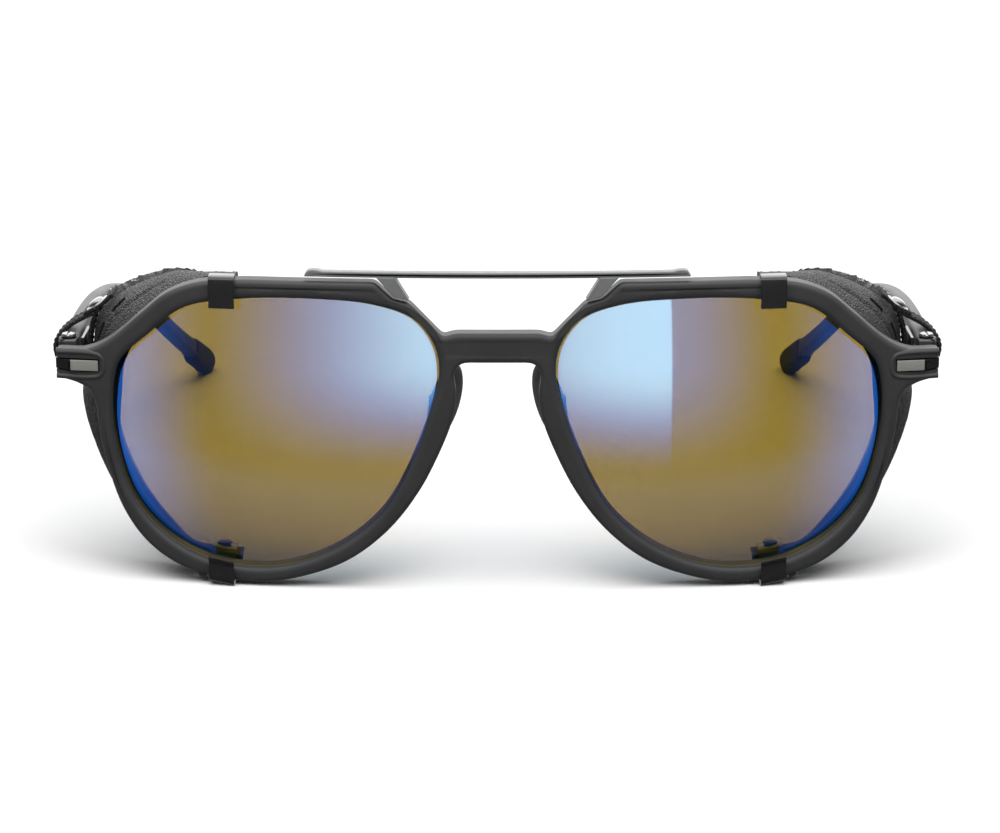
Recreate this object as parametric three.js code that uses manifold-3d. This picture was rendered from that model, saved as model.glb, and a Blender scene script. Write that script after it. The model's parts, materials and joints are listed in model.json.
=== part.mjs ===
// Glacier glasses: a moulded double-bridge front with mirrored lenses, folding temples,
// and leather side shields that clip to the rims and loop round the temples.
// Millimetres, +Z up. The front faces -Y, the temples run back along +Y.
// The wearer's left side is +X. The left pieces are drawn and the right ones mirrored.

import * as THREE from "three";
import { mergeVertices, mergeGeometries } from "three/addons/utils/BufferGeometryUtils.js";
import Module from "manifold-3d";

const wasm = await Module();
wasm.setup();

// ---- Driving dimensions ----

const CLEARANCE = 0.3; // between pieces that touch
const FACE_FORM_RADIUS = 300; // the front is bent round the face to this radius
const RIM_DEPTH = 4.4; // front face to back face of the moulded front
const STRAIGHT_STEP = 5; // longest piece of a straight edge, so that it can be bent
const SPLINE_STEPS = 2; // edges between two knots of a curved outline

const LENS_CENTRE_X = 36;
const LENS_CENTRE_Z = 25.9;
const LENS_EDGE_Y = 1.5; // front of the lens edge behind the front's face
const LENS_THICKNESS = 1.8;
const LENS_LAP = 0.6; // how far the lens edge runs into its groove
const DOME_RISE = 2.93; // these three make the lens a base 6 curve, 88 mm in radius
const DOME_HALF_WIDTH = 27;
const DOME_HALF_HEIGHT = 22.7;
const LENS_RINGS = [1, 0.72, 0.4];

const ENDPIECE_OUT = 72.4;
const ENDPIECE_TOP = 39.2;
const ENDPIECE_BOTTOM = 34.1;
const PLATE_IN = 65.3;
const PLATE_TOP = 37.5;
const PLATE_BOTTOM = 35.3;
const PLATE_THICKNESS = 0.6;

const BAR_END = 31.2;
const BAR_BOTTOM = 52.35;
const BAR_HEIGHT = 0.75;
const BAR_FRONT_Y = 0.5;
const BAR_DEPTH = 1.7;

const HINGE_X = 71;
const HINGE_Y = 15.6;
const HINGE_BOTTOM = 33.8;
const KNUCKLE_HEIGHT = 1.6;
const KNUCKLE_RADIUS = 1.7;
const HINGE_BORE_RADIUS = 0.9;
const SCREW_RADIUS = 0.6;
const SCREW_HEAD_RADIUS = 1.15;
const SCREW_HEAD_HEIGHT = 0.5;
const LEAF_THICKNESS = 0.6;
const TEMPLE_LEAF_BACK = 27;
const ROUND_SIDES = 20;

const TEMPLE_THICKNESS = 2.8;
const TEMPLE_FRONT_Y = 18.2;
const TEMPLE_INNER_X = 69.7;
const TEMPLE_CURVE_START = 18;
const TEMPLE_INSWEEP = 0.00075; // inward sweep = this times the square of the length
const TIP_START_Y = 134;
const TANG_LENGTH = 8;
const TANG_THICKNESS = 1.1;

const CLIP_X = 44.6;
const CLIP_WIDTH = 4.2;
const CLIP_SHEET = 0.5;
const CLIP_PLAY = 0.5; // behind the rim
const CLIP_TOP_Z = 52.55;
const CLIP_FLANGE_BACK = 9.6;
const CLIP_FLANGE_INSET = 3.9;
const RIVET_Y = 7.8;
const RIVET_RADIUS = 0.5;
const RIVET_HEAD_RADIUS = 1.3;
const RIVET_HEAD_HEIGHT = 0.5;

const LEATHER = 1.1;
const LINING = 0.7;
const LAYER_GAP = 0.5;

// Outlines are lists of stretches of [x, z] knots. Two knots are a straight edge,
// more are a smooth curve through them.

const LENS_OPENING = [
  [
    [41.5, 48.4], [30, 48.7], [20, 47.9], [13.4, 45.5], [10.1, 41], [9.5, 36], [11.2, 29.5],
    [14.2, 21.5], [18.6, 13.6], [25, 7.8], [32.5, 4.3], [39.5, 3.2], [47.5, 4.2],
    [54.5, 7.8], [59.4, 14], [61.9, 22], [62.6, 30], [61.5, 36.8], [56.8, 42], [51, 46.6],
    [41.5, 48.4],
  ],
];

const HALF_FRONT = [
  [[0, 43.8], [6.9, 43.8]],
  [[6.9, 43.8], [8.8, 43.2]],
  [[8.8, 43.2], [14.2, 48.6]],
  [[14.2, 48.6], [16.9, 49.2]],
  [[16.9, 49.2], [19.7, 52.0]],
  [[19.7, 52.0], [41, 52.0]],
  [[41, 52.0], [48.7, 51.2], [53.8, 49], [57.7, 45.8], [62.5, 41.6], [65.5, 39.7], [68, ENDPIECE_TOP]],
  [[68, ENDPIECE_TOP], [ENDPIECE_OUT, ENDPIECE_TOP]],
  [[ENDPIECE_OUT, ENDPIECE_TOP], [ENDPIECE_OUT, ENDPIECE_BOTTOM]],
  [[ENDPIECE_OUT, ENDPIECE_BOTTOM], [69, 33.3]],
  [[69, 33.3], [66.7, 32.2]],
  [
    [66.7, 32.2], [65.9, 29.6], [65.5, 25.5], [64.3, 19.6], [61.8, 12.3], [58, 6.8],
    [52.5, 2.9], [45.5, 1.1], [38, 0.7], [30.5, 2.3], [24, 5.3], [18, 10.6], [13.3, 16.9],
    [10, 23.4], [7.7, 29.2], [7, 33.4], [7.2, 36.6], [6.2, 38.1], [5.2, 38.5],
  ],
  [[5.2, 38.5], [0, 38.5]],
];

const WING = [[19.4, 52.5], [16.4, 52.5], [14.2, 49.0], [16.8, 49.6]];

// Side profile of a temple, [y, z] along its top and bottom edges.
const TEMPLE_TOP = [
  [TEMPLE_FRONT_Y, 38.7], [25, 39.2], [45, 39], [60, 37.2], [75, 34.2], [90, 29.6],
  [105, 23.4], [118, 17.2], [TIP_START_Y, 9.9],
];
const TEMPLE_BOTTOM = [
  [TIP_START_Y, 6.1], [118, 13.8], [105, 20], [90, 26.1], [75, 30.4], [60, 33], [45, 34.3],
  [25, 34], [TEMPLE_FRONT_Y, 34.3],
];
const TIP_TOP = [[TIP_START_Y + CLEARANCE, 10.2], [141, 7.2], [146.5, 4.6], [148.8, 2.4]];
const TIP_BOTTOM = [[148.8, 2.4], [147.6, 0.5], [145, 0], [140.5, 2.1], [TIP_START_Y + CLEARANCE, 5.4]];

// Side shield: at each row the leather runs from the rim, [x, z] at depth y behind the
// front's face, back to its free edge [x, y, z], bowed outwards halfway.
const SHIELD_ROWS = [
  { rim: [42.6, 50.2], depth: 5.8, bow: 0.3, edge: [42.6, 13.2, 50.4] },
  { rim: [46.9, 49.9], depth: 5.8, bow: 0.5, edge: [47.1, 14.4, 50.9] },
  { rim: [51.5, 48.2], depth: 4.8, bow: 0.8, edge: [52.3, 17.0, 50.2] },
  { rim: [56, 45.2], depth: 4.8, bow: 1.1, edge: [57.6, 21.0, 48.5] },
  { rim: [59.6, 41.3], depth: 4.8, bow: 1.1, edge: [61.6, 25.5, 45.4] },
  { rim: [62.2, 36.8], depth: 4.8, bow: 1.1, edge: [64.0, 28.5, 40.5] },
  { rim: [63, 31], depth: 4.8, bow: 1.2, edge: [65.2, 29.0, 34.0] },
  { rim: [63.4, 25], depth: 4.8, bow: 1.4, edge: [67.2, 27.0, 27] },
  { rim: [62.4, 19], depth: 4.8, bow: 1.4, edge: [66.0, 23.5, 19.5] },
  { rim: [59.8, 13], depth: 4.8, bow: 1.2, edge: [61.6, 20.0, 12.4] },
  { rim: [55.3, 7.8], depth: 4.8, bow: 0.9, edge: [56.2, 17.0, 7.0] },
  { rim: [51, 4.6], depth: 5.2, bow: 0.6, edge: [51.3, 15.2, 4.1] },
  { rim: [46.9, 3.1], depth: 5.8, bow: 0.4, edge: [47, 14.2, 2.9] },
  { rim: [42.6, 2.4], depth: 5.8, bow: 0.3, edge: [42.6, 13.4, 2.4] },
];

// Leather loop round the temple behind the hinge, [x, z].
const STRAP_OUTER = [
  [66.5, 42.9], [69.3, 41.7], [72.2, 41], [73.8, 40.2], [74.3, 38], [74.3, 35],
  [73.7, 32.9], [72.2, 32.2], [68.2, 32.2], [67.3, 33.3], [67.3, 38],
];
const STRAP_INNER = [
  [68, 40.6], [71.4, 40], [72.8, 39.5], [73.1, 38], [73.1, 35], [72.8, 33.7],
  [71.8, 33.4], [68.8, 33.4], [68.4, 34.2], [68.4, 38.6],
];
const STRAP_FRONT_Y = 19.6;
const STRAP_WIDTH = 4.6;
const SNAP_RADIUS = 2.2;
const SNAP_HEIGHT = 1.2;
const SNAP_PLACE = [68.5, 21.9, 43.2];
const SNAP_LEAN = 0.46; // radians outward from upright

// ---- Materials ----

const finish = (color, roughness, metalness) =>
  new THREE.MeshStandardMaterial({ color, roughness, metalness });
const MOULDING = finish(0x2b2b2c, 0.55, 0);
const BAR_METAL = finish(0x3a3b3d, 0.38, 0.8);
const PLATE_METAL = finish(0x9c9b94, 0.35, 0.9);
const CLIP_METAL = finish(0x101012, 0.12, 0.9);
const STEEL = finish(0x8c8c8e, 0.3, 1);
const LENS_GLASS = finish(0x8a7434, 0.05, 0.3);
const RUBBER = finish(0x1c1c1c, 0.8, 0);
const HIDE = finish(0x242425, 0.7, 0);
const HIDE_LINING = finish(0x161616, 0.85, 0);

// ---- Helpers ----

function strip(geometry) {
  const bare = geometry.index ? geometry : geometry.clone();
  bare.deleteAttribute("normal");
  bare.deleteAttribute("uv");
  return mergeVertices(bare, 1e-4);
}

function toSolid(geometry) {
  const bare = strip(geometry);
  return new wasm.Manifold(new wasm.Mesh({
    numProp: 3,
    vertProperties: new Float32Array(bare.attributes.position.array),
    triVerts: new Uint32Array(bare.index.array),
  }));
}

function toGeometry(solid) {
  const mesh = solid.getMesh();
  const geometry = new THREE.BufferGeometry();
  geometry.setAttribute("position", new THREE.BufferAttribute(mesh.vertProperties, 3));
  geometry.setIndex(new THREE.BufferAttribute(mesh.triVerts, 1));
  return geometry;
}

function cut(geometry, ...tools) {
  let solid = toSolid(geometry);
  for (const tool of tools) solid = solid.subtract(toSolid(tool));
  return toGeometry(solid);
}

function join(...geometries) {
  let solid = toSolid(geometries[0]);
  for (const other of geometries.slice(1)) solid = solid.add(toSolid(other));
  return toGeometry(solid);
}

// Moves every vertex by the function move(point).
function reshape(geometry, move) {
  const bare = strip(geometry);
  const places = bare.attributes.position;
  const point = new THREE.Vector3();
  for (let i = 0; i < places.count; i += 1) {
    point.fromBufferAttribute(places, i);
    move(point);
    places.setXYZ(i, point.x, point.y, point.z);
  }
  return bare;
}

// How far back the bent front lies at a distance x from the middle.
const faceForm = (x) => (x * x) / (2 * FACE_FORM_RADIUS);

const bent = (geometry) => reshape(geometry, (p) => {
  p.y += faceForm(p.x);
});

function mirrored(geometry) {
  const copy = strip(geometry.clone());
  copy.applyMatrix4(new THREE.Matrix4().makeScale(-1, 1, 1));
  const index = copy.index.array;
  for (let i = 0; i < index.length; i += 3) [index[i], index[i + 1]] = [index[i + 1], index[i]];
  return copy;
}

// Turns stretches of knots into one list of points.
function trace(stretches) {
  const points = [];
  for (const stretch of stretches) {
    const knots = stretch.map(([x, z]) => new THREE.Vector3(x, z, 0));
    const first = knots[0];
    const last = knots[knots.length - 1];
    const closed = first.distanceTo(last) < 1e-6;
    let line;
    if (closed) {
      const curve = new THREE.CatmullRomCurve3(knots.slice(0, -1), true, "centripetal");
      line = curve.getPoints((knots.length - 1) * SPLINE_STEPS);
    } else if (knots.length > 2) {
      const curve = new THREE.CatmullRomCurve3(knots, false, "centripetal");
      line = curve.getPoints((knots.length - 1) * SPLINE_STEPS);
    } else {
      const pieces = Math.ceil(first.distanceTo(last) / STRAIGHT_STEP);
      line = Array.from({ length: pieces + 1 }, (_, i) => first.clone().lerp(last, i / pieces));
    }
    points.push(...line.slice(0, -1).map((p) => new THREE.Vector2(p.x, p.y)));
    if (stretch === stretches[stretches.length - 1] && !closed) {
      points.push(new THREE.Vector2(last.x, last.y));
    }
  }
  return points;
}

// Moves each point of a closed outline outwards by a distance.
function grown(points, distance) {
  const turn = THREE.ShapeUtils.area(points) > 0 ? 1 : -1;
  return points.map((p, i) => {
    const before = points[(i + points.length - 1) % points.length];
    const after = points[(i + 1) % points.length];
    const arriving = p.clone().sub(before).normalize();
    const leaving = after.clone().sub(p).normalize();
    const reach = (turn * distance) / (1 + arriving.dot(leaving));
    const along = arriving.add(leaving);
    return new THREE.Vector2(p.x + reach * along.y, p.y - reach * along.x);
  });
}

// A flat plate with an [x, z] outline between two depths.
function plate(points, frontY, backY, holes = []) {
  const clockwise = THREE.ShapeUtils.isClockWise(points);
  const shape = new THREE.Shape(clockwise ? [...points].reverse() : points);
  for (const hole of holes) shape.holes.push(new THREE.Path(hole));
  const geometry = new THREE.ExtrudeGeometry(shape, { depth: backY - frontY, bevelEnabled: false });
  geometry.rotateX(Math.PI / 2);
  geometry.translate(0, backY, 0);
  return strip(geometry);
}

// A plate with a [y, z] outline between two distances from the middle.
function sidePlate(points, innerX, outerX) {
  const shape = new THREE.Shape(points);
  const geometry = new THREE.ExtrudeGeometry(shape, { depth: outerX - innerX, bevelEnabled: false });
  const y = new THREE.Vector3(0, 1, 0);
  const z = new THREE.Vector3(0, 0, 1);
  const x = new THREE.Vector3(1, 0, 0);
  geometry.applyMatrix4(new THREE.Matrix4().makeBasis(y, z, x));
  geometry.translate(innerX, 0, 0);
  return strip(geometry);
}

function box(low, high) {
  const geometry = new THREE.BoxGeometry(...high.map((value, i) => value - low[i]));
  geometry.translate(...high.map((value, i) => (value + low[i]) / 2));
  return geometry;
}

function upright(radius, x, y, bottom, top) {
  const geometry = new THREE.CylinderGeometry(radius, radius, top - bottom, ROUND_SIDES);
  geometry.rotateX(Math.PI / 2);
  geometry.translate(x, y, (top + bottom) / 2);
  return geometry;
}

// ---- Front ----

const vectors = (knots) => knots.map(([x, z]) => new THREE.Vector2(x, z));

const mirrorPoints = (points) => points.map((p) => new THREE.Vector2(-p.x, p.y)).reverse();

function frontOutline() {
  const half = trace(HALF_FRONT);
  return [...half, ...mirrorPoints(half).slice(1, -1)];
}

const lensOpening = trace(LENS_OPENING);

const dome = (x, z) => DOME_RISE * (((x - LENS_CENTRE_X) / DOME_HALF_WIDTH) ** 2
  + ((z - LENS_CENTRE_Z) / DOME_HALF_HEIGHT) ** 2 - 1);

// A domed lens blank with its edge the given distance outside the opening.
function lensBlank(lap, frontY, backY) {
  const edge = grown(lensOpening, lap);
  const centre = new THREE.Vector2(LENS_CENTRE_X, LENS_CENTRE_Z);
  const rings = LENS_RINGS.map((share) => edge.map((p) => centre.clone().lerp(p, share)));
  const places = [];
  const index = [];
  const count = edge.length;
  for (const depth of [frontY, backY]) {
    for (const p of rings.flat()) places.push(p.x, depth + dome(p.x, p.y), p.y);
    places.push(centre.x, depth + dome(centre.x, centre.y), centre.y);
  }
  const back = rings.length * count + 1;
  const addFace = (a, b, c, flipped) => index.push(...(flipped ? [a, c, b] : [a, b, c]));
  for (const [start, flipped] of [[0, false], [back, true]]) {
    for (let i = 0; i < count; i += 1) {
      const next = (i + 1) % count;
      for (let ring = 0; ring < rings.length - 1; ring += 1) {
        const outer = start + ring * count;
        const inner = outer + count;
        addFace(outer + i, inner + i, outer + next, flipped);
        addFace(inner + i, inner + next, outer + next, flipped);
      }
      const last = start + (rings.length - 1) * count;
      addFace(last + i, start + rings.length * count, last + next, flipped);
    }
  }
  for (let i = 0; i < count; i += 1) {
    const next = (i + 1) % count;
    index.push(i, next, back + i, next, back + next, back + i);
  }
  const geometry = new THREE.BufferGeometry();
  geometry.setAttribute("position", new THREE.Float32BufferAttribute(places, 3));
  geometry.setIndex(index);
  return bent(facingOut(geometry));
}

// Turns a closed geometry's faces outwards if they all point in.
function facingOut(geometry) {
  const places = geometry.attributes.position;
  const index = geometry.index.array;
  const corner = (i) => new THREE.Vector3().fromBufferAttribute(places, index[i]);
  let volume = 0;
  for (let i = 0; i < index.length; i += 3) volume += corner(i).dot(corner(i + 1).cross(corner(i + 2)));
  if (volume < 0) {
    for (let i = 0; i < index.length; i += 3) [index[i], index[i + 1]] = [index[i + 1], index[i]];
  }
  return geometry;
}

function lensGroove() {
  return lensBlank(
    LENS_LAP + CLEARANCE, LENS_EDGE_Y - CLEARANCE, LENS_EDGE_Y + LENS_THICKNESS + CLEARANCE,
  );
}

// Plate and its slot in the endpiece, an L in plan that turns the outer corner.
function cornerPlate(play) {
  const front = faceForm(PLATE_IN) - 0.1;
  const outer = ENDPIECE_OUT + 0.1;
  const plan = [
    [PLATE_IN - play, front - play], [outer + play, front + 2.2 - play], [outer + play, front + 5.2 + play],
    [outer - PLATE_THICKNESS - play, front + 5.2 + play],
    [outer - PLATE_THICKNESS - play, front + 2.2 + PLATE_THICKNESS + play],
    [PLATE_IN - play, front + PLATE_THICKNESS + play],
  ];
  const geometry = new THREE.ExtrudeGeometry(new THREE.Shape(vectors(plan)), {
    depth: PLATE_TOP - PLATE_BOTTOM + 2 * play, bevelEnabled: false,
  });
  geometry.translate(0, 0, PLATE_BOTTOM - play);
  return strip(geometry);
}

function clipLug(x, z) {
  return box([x - 0.6, faceForm(x) + 0.8, z - 0.9], [x + 0.6, faceForm(x) + 3.6, z + 0.7]);
}

function frontFrame() {
  const openings = [lensOpening, mirrorPoints(lensOpening)];
  const moulding = bent(plate(frontOutline(), 0, RIM_DEPTH, openings));
  const extras = [clipLug(CLIP_X - 3.2, 0.9), clipLug(CLIP_X + 3.4, 1.5)];
  const cuts = [lensGroove(), cornerPlate(CLEARANCE)];
  const whole = join(moulding, ...extras, ...extras.map(mirrored));
  return cut(whole, ...cuts, ...cuts.map(mirrored));
}

function browBar() {
  const back = BAR_FRONT_Y + BAR_DEPTH;
  const rail = trace([[[-BAR_END, BAR_BOTTOM], [BAR_END, BAR_BOTTOM]]]);
  const roof = trace([[[BAR_END, BAR_BOTTOM + BAR_HEIGHT], [-BAR_END, BAR_BOTTOM + BAR_HEIGHT]]]);
  const bar = bent(plate([...rail, ...roof], BAR_FRONT_Y, back));
  const wing = bent(plate(vectors(WING), -0.1, back));
  return join(bar, wing, mirrored(wing));
}

function nosePad() {
  const pad = new THREE.SphereGeometry(1, 16, 12);
  pad.scale(1.9, 4.6, 6.6);
  pad.rotateZ(0.42);
  pad.rotateY(-0.24);
  pad.translate(8.9, 7.2, 32.4);
  const rimSpace = box([0, -5, 20], [20, RIM_DEPTH + faceForm(11) + CLEARANCE, 45]);
  return cut(pad, rimSpace);
}

// ---- Hinges ----

const knuckleBottom = (number) => HINGE_BOTTOM + number * (KNUCKLE_HEIGHT + CLEARANCE);

function knuckle(number) {
  const bottom = knuckleBottom(number);
  return upright(KNUCKLE_RADIUS, HINGE_X, HINGE_Y, bottom, bottom + KNUCKLE_HEIGHT);
}

const hingeTop = () => knuckleBottom(2) + KNUCKLE_HEIGHT;

const hingeBore = () => upright(HINGE_BORE_RADIUS, HINGE_X, HINGE_Y, HINGE_BOTTOM - 1, hingeTop() + 1);

function hingeFrontLeaf() {
  const back = faceForm(ENDPIECE_OUT) + RIM_DEPTH + CLEARANCE;
  const webs = [0, 2].map((number) => {
    const bottom = knuckleBottom(number);
    return box([HINGE_X - 1.5, back, bottom], [HINGE_X + 1.4, HINGE_Y, bottom + KNUCKLE_HEIGHT]);
  });
  const leaf = box([HINGE_X + 0.3, back, HINGE_BOTTOM], [HINGE_X + 1.4, back + LEAF_THICKNESS, hingeTop()]);
  const middle = knuckleBottom(1);
  const gap = upright(
    KNUCKLE_RADIUS + CLEARANCE, HINGE_X, HINGE_Y, middle - CLEARANCE, middle + KNUCKLE_HEIGHT + CLEARANCE,
  );
  return cut(join(leaf, ...webs, knuckle(0), knuckle(2)), gap, hingeBore());
}

function hingeTempleLeaf() {
  const inner = TEMPLE_INNER_X - CLEARANCE - LEAF_THICKNESS;
  const outer = TEMPLE_INNER_X - CLEARANCE;
  const middle = knuckleBottom(1);
  const blade = box([inner, TEMPLE_FRONT_Y, 34.6], [outer, TEMPLE_LEAF_BACK, 38.4]);
  const neck = box([inner, HINGE_Y, middle], [outer + 0.6, TEMPLE_FRONT_Y + 0.2, middle + KNUCKLE_HEIGHT]);
  const clear = box([outer, TEMPLE_FRONT_Y - CLEARANCE, 30], [outer + 9, TEMPLE_LEAF_BACK + 1, 45]);
  const leaf = cut(join(knuckle(1), neck, blade), hingeBore(), clear);
  return reshape(leaf, sweepIn);
}

function hingeScrew() {
  const head = hingeTop() + CLEARANCE;
  const top = head + SCREW_HEAD_HEIGHT;
  const profile = [
    [0, HINGE_BOTTOM + 0.2], [SCREW_RADIUS, HINGE_BOTTOM + 0.2], [SCREW_RADIUS, head],
    [SCREW_HEAD_RADIUS, head], [SCREW_HEAD_RADIUS, top], [0, top],
  ];
  const screw = new THREE.LatheGeometry(profile.map(([r, z]) => new THREE.Vector2(r, z)), ROUND_SIDES);
  screw.rotateX(Math.PI / 2);
  screw.translate(HINGE_X, HINGE_Y, 0);
  const slot = box([HINGE_X - 0.18, HINGE_Y - 2, top - 0.3], [HINGE_X + 0.18, HINGE_Y + 2, top + 1]);
  return cut(facingOut(strip(screw)), slot);
}

// ---- Temples ----

// Sweeps a straight temple inwards towards its tip.
function sweepIn(p) {
  p.x -= TEMPLE_INSWEEP * Math.max(0, p.y - TEMPLE_CURVE_START) ** 2;
}

function curvedThrough(knots) {
  const curve = new THREE.CatmullRomCurve3(knots.map(([y, z]) => new THREE.Vector3(y, z, 0)), false, "centripetal");
  return curve.getPoints((knots.length - 1) * SPLINE_STEPS).map((p) => new THREE.Vector2(p.x, p.y));
}

const TANG = [
  [TIP_START_Y - 2, 9.9], [TIP_START_Y + TANG_LENGTH, 6.2], [TIP_START_Y + TANG_LENGTH, 4.2],
  [TIP_START_Y - 2, 7.9],
];

function tangPlate(play) {
  const middle = TEMPLE_INNER_X + TEMPLE_THICKNESS / 2;
  const half = TANG_THICKNESS / 2 + play;
  const points = play > 0 ? grown(vectors(TANG), play) : vectors(TANG);
  return sidePlate(points, middle - half, middle + half);
}

function templeArm() {
  const profile = [...curvedThrough(TEMPLE_TOP), ...curvedThrough(TEMPLE_BOTTOM)];
  const blank = sidePlate(profile, TEMPLE_INNER_X, TEMPLE_INNER_X + TEMPLE_THICKNESS);
  return join(reshape(blank, sweepIn), reshape(tangPlate(0), sweepIn));
}

function templeTip() {
  const profile = [...curvedThrough(TIP_TOP), ...curvedThrough(TIP_BOTTOM).slice(1)];
  const blank = sidePlate(profile, TEMPLE_INNER_X - 0.2, TEMPLE_INNER_X + TEMPLE_THICKNESS + 0.2);
  return cut(reshape(blank, sweepIn), reshape(tangPlate(CLEARANCE), sweepIn));
}

// ---- Side shields ----

// A layer of leather between two distances outside the shield's middle surface.
function shieldLayer(inside, outside) {
  const stations = [0, 0.5, 1];
  const ring = (row, before, after) => {
    const along = new THREE.Vector3(after.rim[0] - before.rim[0], 0, after.rim[1] - before.rim[1]).normalize();
    const out = new THREE.Vector3(-along.z, 0, along.x);
    const front = new THREE.Vector3(row.rim[0], row.depth + faceForm(row.rim[0]), row.rim[1]);
    const back = new THREE.Vector3(...row.edge);
    const line = stations.map((share) => front.clone().lerp(back, share)
      .addScaledVector(out, 4 * row.bow * share * (1 - share)));
    const offset = (distance) => line.map((p) => p.clone().addScaledVector(out, distance));
    return [...offset(outside), ...offset(inside).reverse()];
  };
  const rows = SHIELD_ROWS.map((row, i) => ring(
    row, SHIELD_ROWS[Math.max(0, i - 1)], SHIELD_ROWS[Math.min(SHIELD_ROWS.length - 1, i + 1)],
  ));
  return loft(rows);
}

// A closed solid through rings of points, with a flat cap on each end.
function loft(rings) {
  const size = rings[0].length;
  const places = rings.flat().flatMap((p) => p.toArray());
  const index = [];
  for (let ring = 0; ring < rings.length - 1; ring += 1) {
    for (let i = 0; i < size; i += 1) {
      const a = ring * size + i;
      const b = ring * size + ((i + 1) % size);
      index.push(a, b, a + size, b, b + size, a + size);
    }
  }
  const cap = (start, flipped) => {
    const half = size / 2;
    for (let i = 0; i < half - 1; i += 1) {
      const quad = [i, i + 1, size - 2 - i, size - 1 - i].map((n) => start + n);
      const faces = [[quad[0], quad[3], quad[1]], [quad[1], quad[3], quad[2]]];
      for (const [a, b, c] of faces) index.push(...(flipped ? [a, c, b] : [a, b, c]));
    }
  };
  cap(0, false);
  cap((rings.length - 1) * size, true);
  const geometry = new THREE.BufferGeometry();
  geometry.setAttribute("position", new THREE.Float32BufferAttribute(places, 3));
  geometry.setIndex(index);
  return facingOut(geometry);
}

const rivetHole = (z) => upright(
  RIVET_RADIUS + CLEARANCE, CLIP_X, RIVET_Y + faceForm(CLIP_X), z - 4, z + 4,
);

// Two long vents through the leather above the endpiece.
function vents() {
  const places = [[59.6, 17.2, 46.0, 0.75], [62.9, 18.0, 41.8, 1.0]];
  return places.map(([x, y, z, lean]) => {
    const slot = new THREE.CapsuleGeometry(0.55, 3.2, 3, 8);
    slot.scale(1, 1, 9);
    slot.rotateY(lean);
    slot.translate(x, y, z);
    return slot;
  });
}

const shieldCuts = () => [rivetHole(50), rivetHole(2.5), ...vents()];

const shieldOuter = () => cut(shieldLayer(0, LEATHER), ...shieldCuts());

const shieldLining = () => cut(shieldLayer(-LAYER_GAP - LINING, -LAYER_GAP), ...shieldCuts());

// A bent-sheet clip in side view: a hook over the rim and a flange under the leather.
function clip(outerZ, inward, lean) {
  const front = -CLEARANCE - CLIP_SHEET;
  const back = RIM_DEPTH + CLIP_PLAY;
  const at = (y, inset) => [y, outerZ + inward * inset];
  const flange = CLIP_FLANGE_INSET;
  const profile = [
    at(front, 0), at(back + CLIP_SHEET, 0), at(back + CLIP_SHEET, flange),
    at(CLIP_FLANGE_BACK, flange), at(CLIP_FLANGE_BACK, flange + CLIP_SHEET),
    at(back, flange + CLIP_SHEET), at(back, CLIP_SHEET), at(-CLEARANCE, CLIP_SHEET),
    at(-CLEARANCE, 5.2), at(front, 5.2),
  ];
  const band = sidePlate(vectors(profile), CLIP_X - CLIP_WIDTH / 2, CLIP_X + CLIP_WIDTH / 2);
  const hooked = cut(band, upright(RIVET_RADIUS + CLEARANCE, CLIP_X, RIVET_Y, outerZ - 8, outerZ + 8));
  return bent(reshape(hooked, (p) => {
    p.z += lean * (p.x - CLIP_X);
  }));
}

function rivet(outerZ, inward) {
  const low = CLIP_FLANGE_INSET + CLIP_SHEET + CLEARANCE;
  const place = [CLIP_X, RIVET_Y + faceForm(CLIP_X)];
  const between = (radius, from, to) => {
    const ends = [outerZ + inward * from, outerZ + inward * to];
    return upright(radius, ...place, Math.min(...ends), Math.max(...ends));
  };
  return join(
    between(RIVET_HEAD_RADIUS, low, low + RIVET_HEAD_HEIGHT),
    between(RIVET_RADIUS, 1.2, low + 0.1),
  );
}

function templeStrap() {
  return plate(vectors(STRAP_OUTER), STRAP_FRONT_Y, STRAP_FRONT_Y + STRAP_WIDTH, [vectors(STRAP_INNER)]);
}

function strapSnap() {
  const snap = new THREE.CylinderGeometry(SNAP_RADIUS * 0.8, SNAP_RADIUS, SNAP_HEIGHT, ROUND_SIDES);
  snap.rotateX(Math.PI / 2);
  snap.rotateY(SNAP_LEAN);
  snap.translate(...SNAP_PLACE);
  return snap;
}

// ---- Assembly ----

const glasses = new THREE.Group();

function place(name, geometry, material) {
  const mesh = new THREE.Mesh(geometry, material);
  mesh.name = name;
  glasses.add(mesh);
}

function placePair(name, geometry, material) {
  place(`${name}_left`, geometry, material);
  place(`${name}_right`, mirrored(geometry), material);
}

place("front_frame", frontFrame(), MOULDING);
place("brow_bar", browBar(), BAR_METAL);
placePair("lens", lensBlank(LENS_LAP, LENS_EDGE_Y, LENS_EDGE_Y + LENS_THICKNESS), LENS_GLASS);
placePair("nose_pad", nosePad(), RUBBER);
placePair("endpiece_plate", cornerPlate(0), PLATE_METAL);
placePair("hinge_front_leaf", hingeFrontLeaf(), STEEL);
placePair("hinge_temple_leaf", hingeTempleLeaf(), STEEL);
placePair("hinge_screw", hingeScrew(), STEEL);
placePair("temple_arm", templeArm(), MOULDING);
placePair("temple_tip", templeTip(), RUBBER);
placePair("shield_outer", shieldOuter(), HIDE);
placePair("shield_lining", shieldLining(), HIDE_LINING);
placePair("shield_clip_top", clip(CLIP_TOP_Z, -1, 0), CLIP_METAL);
placePair("shield_clip_bottom", clip(0.4, 1, 0.17), CLIP_METAL);
placePair("shield_rivet_top", rivet(CLIP_TOP_Z, -1), CLIP_METAL);
placePair("shield_rivet_bottom", rivet(0.4, 1), CLIP_METAL);
placePair("temple_strap", templeStrap(), HIDE);
placePair("strap_snap", strapSnap(), CLIP_METAL);

const bounds = new THREE.Box3().setFromObject(glasses);
glasses.position.set(0, -(bounds.min.y + bounds.max.y) / 2, -bounds.min.z);

export default glasses;
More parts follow.
